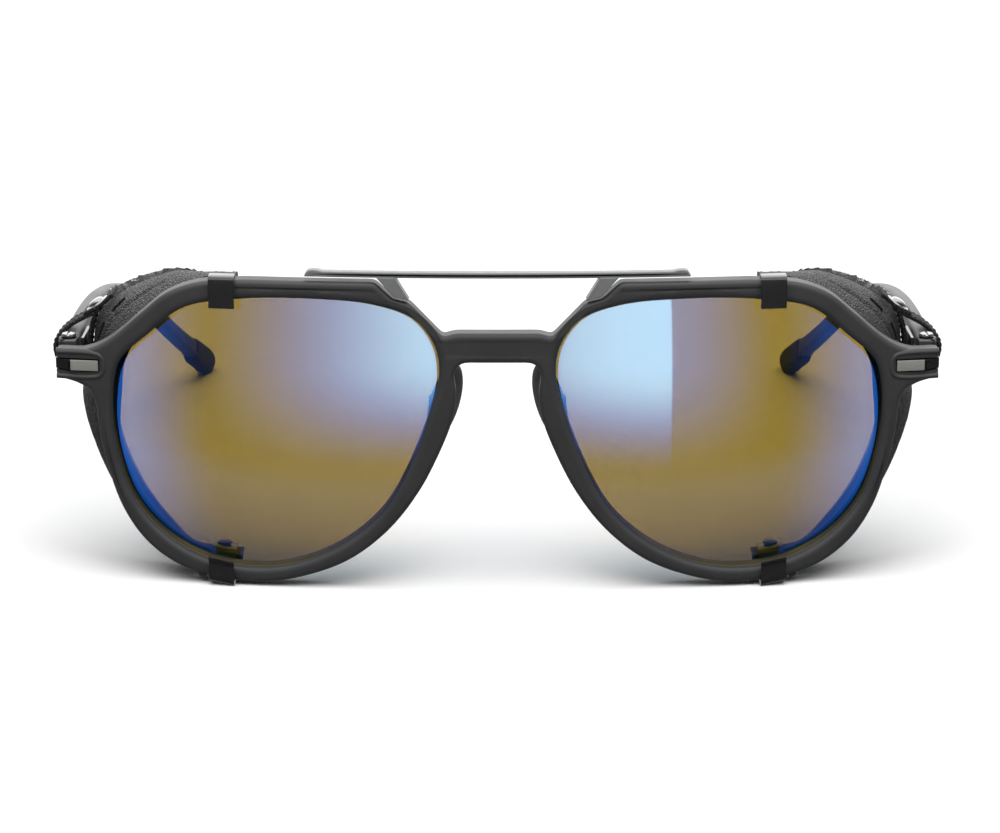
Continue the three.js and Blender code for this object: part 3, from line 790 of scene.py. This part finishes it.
HIDE_LINING = leather("hide_lining", grey(0.01), grey(0.05), 0.7, 3200, 0.00014)
RAW_EDGE = leather("raw_leather_edge", (0.14, 0.14, 0.137), (0.34, 0.34, 0.335), 0.85, 4200, 0.0002)
RUBBER = mottled("soft_rubber", (grey(0.035), grey(0.045)), (0.62, 0.78), (400, 3), (4500, 3),
                 (0.00002, 0.5), specular_ior_level=0.35)
THREAD = leather("thread", grey(0.03), grey(0.07), 0.6, 5000, 0.00003)
LENS = mirrored_lens()


# ---- Front ----


def front_outline():
    half = trace(HALF_FRONT)
    other = [(-x, z) for x, z in half[::-1]]
    return softened(np.array([*half, *other[1:-1]]), 0.45)


def lens_opening(step=OUTLINE_STEP):
    return turning_left(evenly(trace(LENS_OPENING), step))


def corner_plate(play, top, bottom, radius):
    """The L-shaped plate let into an endpiece, or its slot where play is more than 0."""
    front = face_form(PLATE_IN) - PLATE_PROUD
    outer = ENDPIECE_OUT + PLATE_PROUD
    inner = outer - PLATE_THICKNESS
    plan = [
        (PLATE_IN - play, front - play),
        (outer - PLATE_BEND, front + PLATE_FALL - play),
        (outer + play, front + PLATE_BEND - play),
        (outer + play, front + PLATE_BACK + play),
        (inner - play, front + PLATE_BACK + play),
        (inner - play, front + PLATE_BEND + 0.2 + play),
        (outer - PLATE_BEND - 0.2, front + PLATE_FALL + PLATE_THICKNESS + play),
        (PLATE_IN - play, front + PLATE_THICKNESS + play),
    ]
    plan = softened(np.array(plan), 0.12, 0.12)
    return rounded_plate([plan], bottom - play, top + play, [radius], [radius], 3)


def slot_lip():
    """A soft raised border round the endpiece slot."""
    path = spline(
        [(72.3, 38.45), (66.6, 38.45), (65.1, 38.1), (64.55, 37.2), (64.55, 35.6),
         (65.1, 34.75), (66.6, 34.4), (72.3, 34.4)],
        8,
    )
    points, sides = [], 12
    for i, (x, z) in enumerate(path):
        before, after = path[max(0, i - 1)], path[min(len(path) - 1, i + 1)]
        along = (after - before) / np.linalg.norm(after - before)
        across = (-along[1], along[0])
        for k in range(sides):
            angle = 2 * math.pi * k / sides
            out, back = 0.55 * math.cos(angle), 0.5 - 0.75 * math.sin(angle)
            px, pz = x + across[0] * out, z + across[1] * out
            points.append((px, back + face_form(px), pz))
    return tube(points, sides)


def clip_lug(x, z):
    """A small keeper under the rim beside the lower clip."""
    lug = rounded_box((x - 0.65, 0.7, z - 0.9), (x + 0.65, 3.7, z + 0.9), 0.35)
    return reshaped(lug, lambda px, py, pz: (px, py + face_form(px), pz + CLIP_SLANT * (px - x)))


def make_front():
    opening = lens_opening()
    other = np.array([(-x, z) for x, z in opening])
    rounding = [0.85, 1.15, 1.15]
    moulding = facing_front(
        rounded_plate([front_outline(), opening, other], 0, RIM_DEPTH, rounding, [1.2, 0.5, 0.5], 6)
    )
    piece = make("front_moulding", moulding, PLASTIC, "front", ["front_frame"])
    slot = corner_plate(0.22, PLATE_TOP, PLATE_BOTTOM, 0.1)
    carved(piece, [slot, mirrored(slot)])
    even_normals(piece)
    trim = joined(slot_lip(), clip_lug(CLIP_BOTTOM_X - 3.3, 1.15), clip_lug(CLIP_BOTTOM_X + 3.3, 1.9))
    make_pair("front_detail", trim, PLASTIC, "front")


def make_brow_bar():
    end = [(30.6, BAR_TOP + 0.05), (30.2, BAR_TOP + 0.2), (29.2, BAR_TOP + 0.22), (28.2, BAR_TOP)]
    other_end = [(-x, z) for x, z in reversed(end)]
    outline = [
        [(-BAR_END, BAR_BOTTOM), (BAR_END, BAR_BOTTOM)],
        [(BAR_END, BAR_BOTTOM), end[0]],
        end,
        [end[-1], other_end[0]],
        other_end,
        [other_end[-1], (-BAR_END, BAR_BOTTOM)],
    ]
    bar = rounded_plate([softened(trace(outline), 0.14, 0.2)], 0.4, 2.3, [0.22], [0.22], 4)
    wing = [(19.5, 52.6), (16.45, 52.6), (14.2, 48.95), (14.35, 48.85), (16.75, 49.45)]
    wing = softened(np.array(wing), 0.1, 0.12)
    wing = rounded_plate([wing], -0.12, 2.2, [0.16], [0.16], 4)
    both = joined(facing_front(bar), facing_front(wing), mirrored(facing_front(wing)))
    even_normals(make("brow_bar_fine", both, BAR_PAINT, "front", ["brow_bar"]))


def dome(x, z):
    across = (x - LENS_CENTRE[0]) / DOME_HALF_WIDTH
    up = (z - LENS_CENTRE[1]) / DOME_HALF_HEIGHT
    return DOME_RISE * (across**2 + up**2 - 1)


def lens_solid():
    edge = moved_in(lens_opening(0.8), -LENS_LAP)
    count = len(edge)
    shares = [1, 0.985, *[1 - i / 16 for i in range(1, 16)]]
    points, faces, starts = [], [], []
    for depth in (LENS_EDGE_Y, LENS_EDGE_Y + LENS_THICKNESS):
        starts.append(len(points))
        for share in shares:
            for x, z in edge:
                px = LENS_CENTRE[0] + share * (x - LENS_CENTRE[0])
                pz = LENS_CENTRE[1] + share * (z - LENS_CENTRE[1])
                points.append((px, depth + dome(px, pz) + face_form(px), pz))
        points.append((LENS_CENTRE[0], depth + dome(*LENS_CENTRE) + face_form(LENS_CENTRE[0]),
                       LENS_CENTRE[1]))
    for start in starts:
        faces += quads(len(shares), count, start)
        last = start + (len(shares) - 1) * count
        faces += [(last + i, last + (i + 1) % count, last + count) for i in range(count)]
    for i in range(count):
        j = (i + 1) % count
        faces.append((starts[0] + i, starts[0] + j, starts[1] + j, starts[1] + i))
    return points, faces


def make_lenses():
    return make_pair("lens_fine", lens_solid(), LENS, "front", ["lens_SIDE"], sharp=50)


def nose_pad_solid():
    """A soft pad, an egg leaning with the side of the nose and cut flat against the rim."""
    flat = RIM_DEPTH + face_form(11) + 0.3

    def turn(first, second, angle):
        cosine, sine = math.cos(angle), math.sin(angle)
        return first * cosine - second * sine, first * sine + second * cosine

    def place(x, y, z):
        x, y = turn(x, y, NOSE_PAD_LEAN)
        x, z = turn(x, z, NOSE_PAD_SPLAY)
        return (x + NOSE_PAD_CENTRE[0], max(flat, y + NOSE_PAD_CENTRE[1]), z + NOSE_PAD_CENTRE[2])

    return reshaped(spheroid(NOSE_PAD_RADII, 40, 24), place)


def make_nose_pads():
    arm = rounded_box((9.6, RIM_DEPTH - 0.6, 28.0), (11.2, RIM_DEPTH + 1.6, 32.0), 0.5)
    make_pair("nose_pad_fine", nose_pad_solid(), RUBBER, "front", ["nose_pad_SIDE"])
    make_pair("nose_pad_mount", arm, PLASTIC, "front")


def make_endpiece_plates():
    front = face_form(PLATE_IN) - PLATE_PROUD
    slope = PLATE_FALL / (ENDPIECE_OUT + PLATE_PROUD - PLATE_BEND - PLATE_IN)
    face = rounded_box((PLATE_IN, -0.1, PLATE_BOTTOM), (PLATE_CORNER, 0.3, PLATE_TOP), 0.12)
    face = reshaped(face, lambda x, y, z: (x, y + front + slope * (x - PLATE_IN), z))
    make_pair("endpiece_plate_face", face, PLATE_METAL, "front",
              after=even_normals)
    corner = corner_plate(0, PLATE_TOP, PLATE_BOTTOM, 0.12)
    make_pair("endpiece_plate_corner", corner, GLOSS_BLACK, "front",
              ["endpiece_plate_SIDE"], after=even_normals)


# ---- Hinges ----


def knuckle_bottom(number):
    return HINGE_BOTTOM + number * (KNUCKLE_HEIGHT + KNUCKLE_GAP)


def knuckle(number):
    bottom = knuckle_bottom(number)
    return barrel(KNUCKLE_RADIUS, bottom, bottom + KNUCKLE_HEIGHT, HINGE)


def make_hinges():
    back = face_form(ENDPIECE_OUT) + RIM_DEPTH
    top = knuckle_bottom(2) + KNUCKLE_HEIGHT
    webs = []
    for number in (0, 2):
        low = knuckle_bottom(number)
        webs.append(rounded_box((HINGE[0] - 1.5, back - 0.4, low),
                                (HINGE[0] + 1.4, HINGE[1], low + KNUCKLE_HEIGHT), 0.25))
    leaf = rounded_box((HINGE[0] + 0.3, back - 0.4, HINGE_BOTTOM),
                       (HINGE[0] + 1.4, back + 0.9, top), 0.25)
    front = joined(leaf, *webs, knuckle(0), knuckle(2))
    make_pair("hinge_front_fine", front, PLASTIC, "front",
              ["hinge_front_leaf_SIDE"])
    inner = TEMPLE_INNER_X - 0.9
    middle = knuckle_bottom(1)
    blade = rounded_box((inner, TEMPLE_FRONT_Y, 34.6), (inner + 0.6, 27, 38.4), 0.2)
    neck = rounded_box((inner, HINGE[1], middle),
                       (inner + 1.2, TEMPLE_FRONT_Y + 0.3, middle + KNUCKLE_HEIGHT), 0.2)
    temple = joined(blade, neck, knuckle(1))
    make_pair("hinge_temple_fine", temple, CLIP_BLACK, "temple_SIDE",
              ["hinge_temple_leaf_SIDE"])
    head = top + 0.05
    profile = [
        (0, HINGE_BOTTOM + 0.2), (0.6, HINGE_BOTTOM + 0.2), (0.6, head), (1.05, head),
        (1.18, head + 0.12), (1.18, head + 0.42), (1.08, head + 0.6), (0.7, head + 0.72),
        (0, head + 0.76),
    ]
    slot = rounded_box((HINGE[0] - 0.2, HINGE[1] - 2, head + 0.38),
                       (HINGE[0] + 0.2, HINGE[1] + 2, head + 2), 0.08)
    pair = make_pair("hinge_screw_fine", turned(profile, HINGE), HINGE_STEEL, "front",
                     ["hinge_screw_SIDE"])
    carved(pair[0], [slot])
    carved(pair[1], [mirrored(slot)])


# ---- Temples ----


def make_temples():
    outline = np.array([*spline(TEMPLE_TOP, 16), *spline(TEMPLE_BOTTOM, 16)])
    outline = softened(outline, 0.5, 0.7)
    outer = TEMPLE_INNER_X + TEMPLE_THICKNESS
    arm = facing_side(rounded_plate([outline], TEMPLE_INNER_X, outer, [0.9], [1.0], 6))
    tang = rounded_box((70.6, TIP_START_Y - 1, 5.5), (71.6, TIP_START_Y + 3, 7.8), 0.3)
    arm = reshaped(joined(arm, tang), swept_in)
    make_pair("temple_arm_fine", arm, ARM_PLASTIC_PAINTED_SHEEN, "temple_SIDE",
              ["temple_arm_SIDE"], after=even_normals)
    outline = softened(np.array(spline(TIP_OUTLINE, 16)), 1.1, 0.4)
    tip = rounded_plate([outline], TEMPLE_INNER_X - 0.15, outer + 0.15, [1.0], [1.0], 6)
    tip = reshaped(facing_side(tip), swept_in)
    make_pair("temple_tip_fine", tip, RUBBER, "temple_SIDE", ["temple_tip_SIDE"])


# ---- Side shields ----


def shield_rows(steps):
    """The shield's rows, finely spaced, each with the direction out of the leather."""
    rows = np.array(spline(SHIELD_ROWS, steps))
    rim = np.column_stack([rows[:, 0], rows[:, 2] + face_form(rows[:, 0]), rows[:, 1]])
    edge = rows[:, 4:7]
    along = np.gradient(rim, axis=0)
    along[:, 1] = 0
    along /= np.linalg.norm(along, axis=1)[:, None]
    out = np.column_stack([-along[:, 2], np.zeros(len(rows)), along[:, 0]])
    return rim, edge, rows[:, 3], out, rows[:, 7]


def bell(share, middle, spread):
    return math.exp(-(((share - middle) / spread) ** 2))


def shield_layer(inside, outside, reach, seam, rough, drawn_in=0, flare=0):
    """A layer of leather, from the rim to a reach of 1 at its free edge or more.

    seam presses a groove into it, rough frays its free edge, drawn_in moves the layer in where the
    rows say so, and flare turns out what lies past a reach of 1.
    """
    rim, edge, bow, out, stand_in = shield_rows(12)
    shares = np.linspace(0, reach, SHIELD_SHARES)
    points = []
    for number in range(len(rim)):
        progress = number / (len(rim) - 1)
        line = []
        for share in shares:
            middle = rim[number] + share * (edge[number] - rim[number])
            middle = middle + out[number] * 4 * bow[number] * share * (1 - share)
            middle = middle - out[number] * drawn_in * stand_in[number] * share**1.5
            along_top = min(1, max(0, (0.46 - progress) * 9))
            dip = EDGE_DIP * min(1, max(0, share - 0.78) / 0.2)
            beyond = max(0, share - 1) / (reach - 0.995)
            middle = middle + out[number] * (flare * beyond - dip) * along_top
            groove = seam * bell(share, *SEAM_PLACE)
            fade = min(1, max(0, (progress - 0.16) * 14), max(0, (0.56 - progress) * 14))
            border = BORDER_DEPTH * bell(share, *BORDER_PLACE)
            grain = 0.06 * noise.noise(Vector(middle) * 0.9)
            frayed = rough * noise.noise(Vector(middle) * 1.9) * max(0, share - 0.9) * 8
            line.append((middle, outside - groove * fade - border + grain + frayed))
        tail = line[-1][0]
        back = edge[number] - rim[number]
        back = back / np.linalg.norm(back)
        fray = rough * (noise.noise(Vector(tail) * 2.3) + noise.noise(Vector(tail) * 5.1))
        ring = [middle + out[number] * lift for middle, lift in line]
        half = (outside - inside) / 2
        centre = tail + out[number] * (inside + half)
        for k in range(1, SHIELD_EDGE_POINTS + 1):
            angle = math.pi * k / (SHIELD_EDGE_POINTS + 1)
            bulge = half * 0.75 * math.sin(angle) + fray
            ring.append(centre + out[number] * half * math.cos(angle) + back * bulge)
        ring += [middle + out[number] * inside for middle, _ in reversed(line)]
        points += [tuple(p) for p in ring]
    return tube(points, SHIELD_AROUND)


def show_raw_edge(piece):
    """Gives the free edge of a leather layer its own rough, paler material."""
    piece.data.materials.append(RAW_EDGE)
    for face in piece.data.polygons:
        place = face.index % SHIELD_AROUND
        if SHIELD_SHARES - 5 <= place < SHIELD_SHARES + 7:
            face.material_index = 1


def vent(x, y, z, lean):
    """A long slot through the leather, with round ends, pushed through it."""
    outline = []
    for side in (-1, 1):
        for k in range(9):
            angle = side * math.pi / 2 + math.pi * (k / 8 - 0.5)
            outline.append((VENT_RADIUS * math.cos(angle),
                            side * VENT_HALF + VENT_RADIUS * math.sin(angle)))
    solid = rounded_plate([evenly(np.array(outline), 0.2)], -5, 5, [0.02], [0.02], 1)
    out_x, out_z = math.sin(lean), math.cos(lean)

    def place(across, along, depth):
        return (x + depth * out_x + along * out_z * 0.8, y + across + along * VENT_SLANT,
                z + depth * out_z - along * out_x * 0.8)

    return reshaped(solid, place)


def make_shields():
    vents = [vent(*settings) for settings in VENTS]
    outer = shield_layer(0, LEATHER, 1.0, SEAM_DEPTH, 0.35)
    pair = make_pair("shield_leather", outer, HIDE, "front", ["shield_outer_SIDE"], sharp=60)
    lining = shield_layer(-LAYER_GAP - LINING, -LAYER_GAP, 1.12, 0, 0.35, 1, EDGE_FLARE)
    pair_in = make_pair("shield_inside", lining, HIDE_LINING, "front",
                        ["shield_lining_SIDE"], sharp=60)
    for piece in pair_in:
        show_raw_edge(piece)
    for left, right in (pair, pair_in):
        carved(left, vents)
        carved(right, [mirrored(v) for v in vents])
    for side, pieces in zip(("left", "right"), zip(pair, pair_in)):
        for piece in pieces:
            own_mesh(piece)


def ribbon(path, thickness):
    """The outline of a bent sheet of even thickness along an open path."""
    path = np.array(path, float)
    along = np.gradient(path, axis=0)
    along /= np.linalg.norm(along, axis=1)[:, None]
    across = np.column_stack([-along[:, 1], along[:, 0]]) * thickness / 2
    return np.vstack([path + across, (path - across)[::-1]])


def clip_solid(middle, outer, inward, lean, start):
    """A clip of bent sheet, in [y, z]: down the front of the rim, over it and back to a flange."""
    half = CLIP_SHEET / 2
    front = -0.3 - half

    def at(y, inset):
        return (y, outer + inward * (inset + half))

    path = spline(
        [*(at(front + forward, inset) for forward, inset in start), at(front, 0.7),
         at(front + 0.2, 0.2), at(front + 0.7, 0), at(2.6, 0.05), at(3.7, 0.45), at(4.5, 1.4),
         at(5.0, 2.8), at(5.4, 3.5), at(6.1, 3.85), at(9.4, 3.9)],
        6,
    )
    outline = evenly(ribbon(path, CLIP_SHEET), 0.12)
    sheet = rounded_plate([outline], middle - CLIP_WIDTH / 2, middle + CLIP_WIDTH / 2,
                          [0.1], [0.1], 2)
    return reshaped(facing_side(sheet),
                    lambda x, y, z: (x, y + face_form(x), z + lean * (x - middle)))


def rivet_solid(middle, outer, inward):
    """A rivet with a domed head under the flange and a shank up through the leather."""
    place = (middle, RIVET_Y + face_form(middle))
    base = outer + inward * 4.45
    profile = [(0, 0), (1.15, 0), (1.3, 0.12), (1.25, 0.34), (0.9, 0.55), (0.4, 0.66), (0, 0.68)]
    head = turned([(radius, base + inward * rise) for radius, rise in profile], place, 32)
    shank_ends = sorted((outer + inward * 1.2, outer + inward * 4.6))
    return joined(head, barrel(0.5, *shank_ends, place, 0.05))


def make_clips():
    for name, middle, outer, inward, lean, start in CLIPS:
        clip = clip_solid(middle, outer, inward, lean, start)
        make_pair(f"clip_{name}_fine", clip, CLIP_BLACK, "front",
                  [f"shield_clip_{name}_SIDE"], after=even_normals)
        rivet = rivet_solid(middle, outer, inward)
        make_pair(f"rivet_{name}_fine", rivet, CLIP_BLACK, "front",
                  [f"shield_rivet_{name}_SIDE"])


def stitch(centre, along, radius=0.14, length=0.36):
    """One short thread lying along a direction in the X-Z plane."""

    def place(up, y, run):
        return (centre[0] + along[0] * run - along[1] * up, centre[1] + y,
                centre[2] + along[1] * run + along[0] * up)

    return reshaped(spheroid((radius, radius, length), 8, 6), place)


def make_straps():
    outer = turning_left(softened(np.array(STRAP_OUTER), 0.4, 0.3))
    inner = moved_in(outer, STRAP_THICKNESS)
    loop = rounded_plate([outer, inner], STRAP_FRONT_Y, STRAP_FRONT_Y + STRAP_WIDTH,
                         [0.25, 0.2], [0.25, 0.2], 4)
    tongue = evenly(ribbon(spline(TONGUE, 8), STRAP_THICKNESS), 0.3)
    tongue = rounded_plate([tongue], STRAP_FRONT_Y, STRAP_FRONT_Y + STRAP_WIDTH, [0.2], [0.2], 4)
    loop = reshaped(joined(loop, tongue), lambda u, v, depth: (u, depth, v))
    make_pair("strap_leather", loop, HIDE, "temple_SIDE", ["temple_strap_SIDE"], sharp=60)
    path = evenly(outer, 0.95)
    threads = []
    for i, (x, z) in enumerate(path):
        along = path[(i + 1) % len(path)] - path[i - 1]
        along = along / np.linalg.norm(along)
        for inset in (0.75, STRAP_WIDTH - 0.75):
            threads.append(stitch((x, STRAP_FRONT_Y + inset, z), along))
    make_pair("strap_stitches", joined(*threads), THREAD, "temple_SIDE")


def make_snaps():
    stud = turned(SNAP_PROFILE, (0, 0), 56)
    along, up = math.cos(SNAP_LEAN), math.sin(SNAP_LEAN)

    def tilt(x, y, z):
        return (SNAP_CENTRE[0] + x * along + z * up, SNAP_CENTRE[1] + y,
                SNAP_CENTRE[2] - x * up + z * along)

    make_pair("strap_snap_fine", reshaped(stud, tilt), SNAP_NICKEL, "temple_SIDE",
              ["strap_snap_SIDE"])


make_front()
make_brow_bar()
lenses = make_lenses()
make_nose_pads()
make_endpiece_plates()
make_hinges()
make_temples()
make_shields()
make_clips()
make_straps()
make_snaps()


# ---- Floor and light ----


def make_floor():
    mesh = bpy.data.meshes.new("floor")
    corners = [(-1, -1), (1, -1), (1, 1), (-1, 1)]
    mesh.from_pydata([(x * FLOOR_HALF, y * FLOOR_HALF, 0) for x, y in corners], [], [(0, 1, 2, 3)])
    material, tree, shader = new_material("pale_floor", roughness=0.9, specular_ior_level=0.0)
    shader.inputs["Base Color"].default_value = FLOOR_COLOUR
    mesh.materials.append(material)
    floor = placed("floor", mesh)
    floor.visible_glossy = False


def linked_light(name, place, target, size, watts, lit_names):
    """A rectangular light that shines only on the pieces whose names start as given."""
    data = bpy.data.lights.new(name, "AREA")
    data.shape = "RECTANGLE"
    data.size, data.size_y = size
    data.energy = watts
    lamp = placed(name, data)
    lamp.location = (place[0] * MM, place[1] * MM + FRONT_Y, place[2] * MM)
    way = Vector((target[0] * MM, target[1] * MM + FRONT_Y, target[2] * MM)) - lamp.location
    lamp.rotation_euler = way.to_track_quat("-Z", "Y").to_euler()
    lamp.visible_camera = False
    lit = bpy.data.collections.new(f"lit_by_{name}")
    for piece in bpy.context.collection.objects:
        if piece.type == "MESH" and piece.name.startswith(lit_names):
            lit.objects.link(piece)
    lamp.light_linking.receiver_collection = lit
    lamp.light_linking.blocker_collection = lit


def smooth_range(tree, value, start, end):
    """Rises smoothly from 0 at start to 1 at end."""
    return ranged(tree, value, 0, 1, start, end, "SMOOTHSTEP")


def axes_of(tree, output):
    """The X, Y and Z of a texture coordinate."""
    place = node(tree, "ShaderNodeTexCoord")
    axes = node(tree, "ShaderNodeSeparateXYZ")
    tree.links.new(place.outputs[output], axes.inputs[0])
    return axes.outputs


def fed(tree, made, sockets, values):
    """The output of a node once its sockets have their numbers or links."""
    for number, value in zip(sockets, values):
        if isinstance(value, (int, float)):
            made.inputs[number].default_value = value
        else:
            tree.links.new(value, made.inputs[number])
    return made.outputs[0]


def calculated(tree, operation, *values):
    return fed(tree, node(tree, "ShaderNodeMath", operation=operation), (0, 1), values)


def combined(tree, operation, *values):
    total = values[0]
    for value in values[1:]:
        total = calculated(tree, operation, total, value)
    return total


def product(tree, *values):
    return combined(tree, "MULTIPLY", *values)


def added(tree, *values):
    return combined(tree, "ADD", *values)


def chosen(tree, choice, first, second):
    """The first value, or the second where choice is 1."""
    made = node(tree, "ShaderNodeMix", data_type="FLOAT")
    return fed(tree, made, (0, 2, 3), (choice, first, second))


def make_reflection_wall(lenses):
    """What the lenses mirror: a softbox with a sharp right edge, a dim wall and two side lights."""
    mesh = bpy.data.meshes.new("reflection_wall")
    corners = [(-1, WALL_LOW), (1, WALL_LOW), (1, WALL_HIGH), (-1, WALL_HIGH)]
    mesh.from_pydata([(x * WALL_HALF, FRONT_Y - WALL_AHEAD, z) for x, z in corners], [],
                     [(0, 1, 2, 3)])
    material, tree, surface = bare_material("reflection_wall")
    light = node(tree, "ShaderNodeEmission")
    tree.links.new(light.outputs[0], surface)
    x, _, z = axes_of(tree, "Object")
    aside = calculated(tree, "ABSOLUTE", x, 0)
    past_edge = smooth_range(tree, x, SOFTBOX_EDGE, SOFTBOX_EDGE + EDGE_BLUR)
    before_edge = smooth_range(tree, x, SOFTBOX_EDGE + EDGE_BLUR, SOFTBOX_EDGE)
    high = smooth_range(tree, z, *WALL_FADE)
    softbox = product(tree, before_edge, smooth_range(tree, x, *SOFTBOX_FADE), high)
    wall = product(tree, past_edge, smooth_range(tree, x, *DIM_FADE), high, DIM_SHARE)
    sides = product(tree, smooth_range(tree, aside, *SIDE_FADE),
                    smooth_range(tree, z, *SIDE_FADE_UP), SIDE_SHARE)
    low = product(tree, smooth_range(tree, z, *LOW_FADE), LOW_SHARE)
    share = added(tree, softbox, wall, sides, low)
    pale = smooth_range(tree, share, 0.2, 0.95)
    tree.links.new(blended(tree, pale, WALL_BLUE, WALL_PALE), light.inputs["Color"])
    tree.links.new(product(tree, share, SOFTBOX_STRENGTH), light.inputs["Strength"])
    mesh.materials.append(material)
    card = placed("reflection_wall", mesh)
    for kind in ("camera", "diffuse", "shadow", "transmission"):
        setattr(card, f"visible_{kind}", False)
    mirrors = bpy.data.collections.new("mirrors")
    for lens in lenses:
        mirrors.objects.link(lens)
    card.light_linking.receiver_collection = mirrors


def make_world():
    """White to the eye, a bright sky for soft light, and bright behind and above in reflections."""
    world = bpy.data.worlds.new("studio")
    bpy.context.scene.world = world
    world.use_nodes = True
    tree = world.node_tree
    background = tree.nodes["Background"]
    _, y, z = axes_of(tree, "Generated")
    path = node(tree, "ShaderNodeLightPath")
    height = added(tree, product(tree, z, SKY_WAY[1]), product(tree, y, SKY_WAY[0]))
    sky = added(tree, product(tree, smooth_range(tree, height, SKY_START, 1.0), SKY_STRENGTH), SKY_LEAST)
    level = added(tree, product(tree, smooth_range(tree, z, -0.15, 0.15), 0.85), 0.15)
    behind = product(tree, smooth_range(tree, y, 0.3, 0.95), BEHIND_STRENGTH, level)
    above = product(tree, smooth_range(tree, z, 0.35, 0.9), ABOVE_STRENGTH)
    mirrored_light = added(tree, behind, above, MIRRORED_LEAST)
    lit = chosen(tree, path.outputs["Is Glossy Ray"], sky, mirrored_light)
    seen = chosen(tree, path.outputs["Is Camera Ray"], lit, 1.0)
    tree.links.new(seen, background.inputs["Strength"])
    background.inputs["Color"].default_value = (1, 1, 1, 1)


make_floor()
make_world()
for settings in LIGHTS:
    linked_light(*settings)
make_reflection_wall(lenses)
bpy.context.scene.view_settings.view_transform = "Standard"
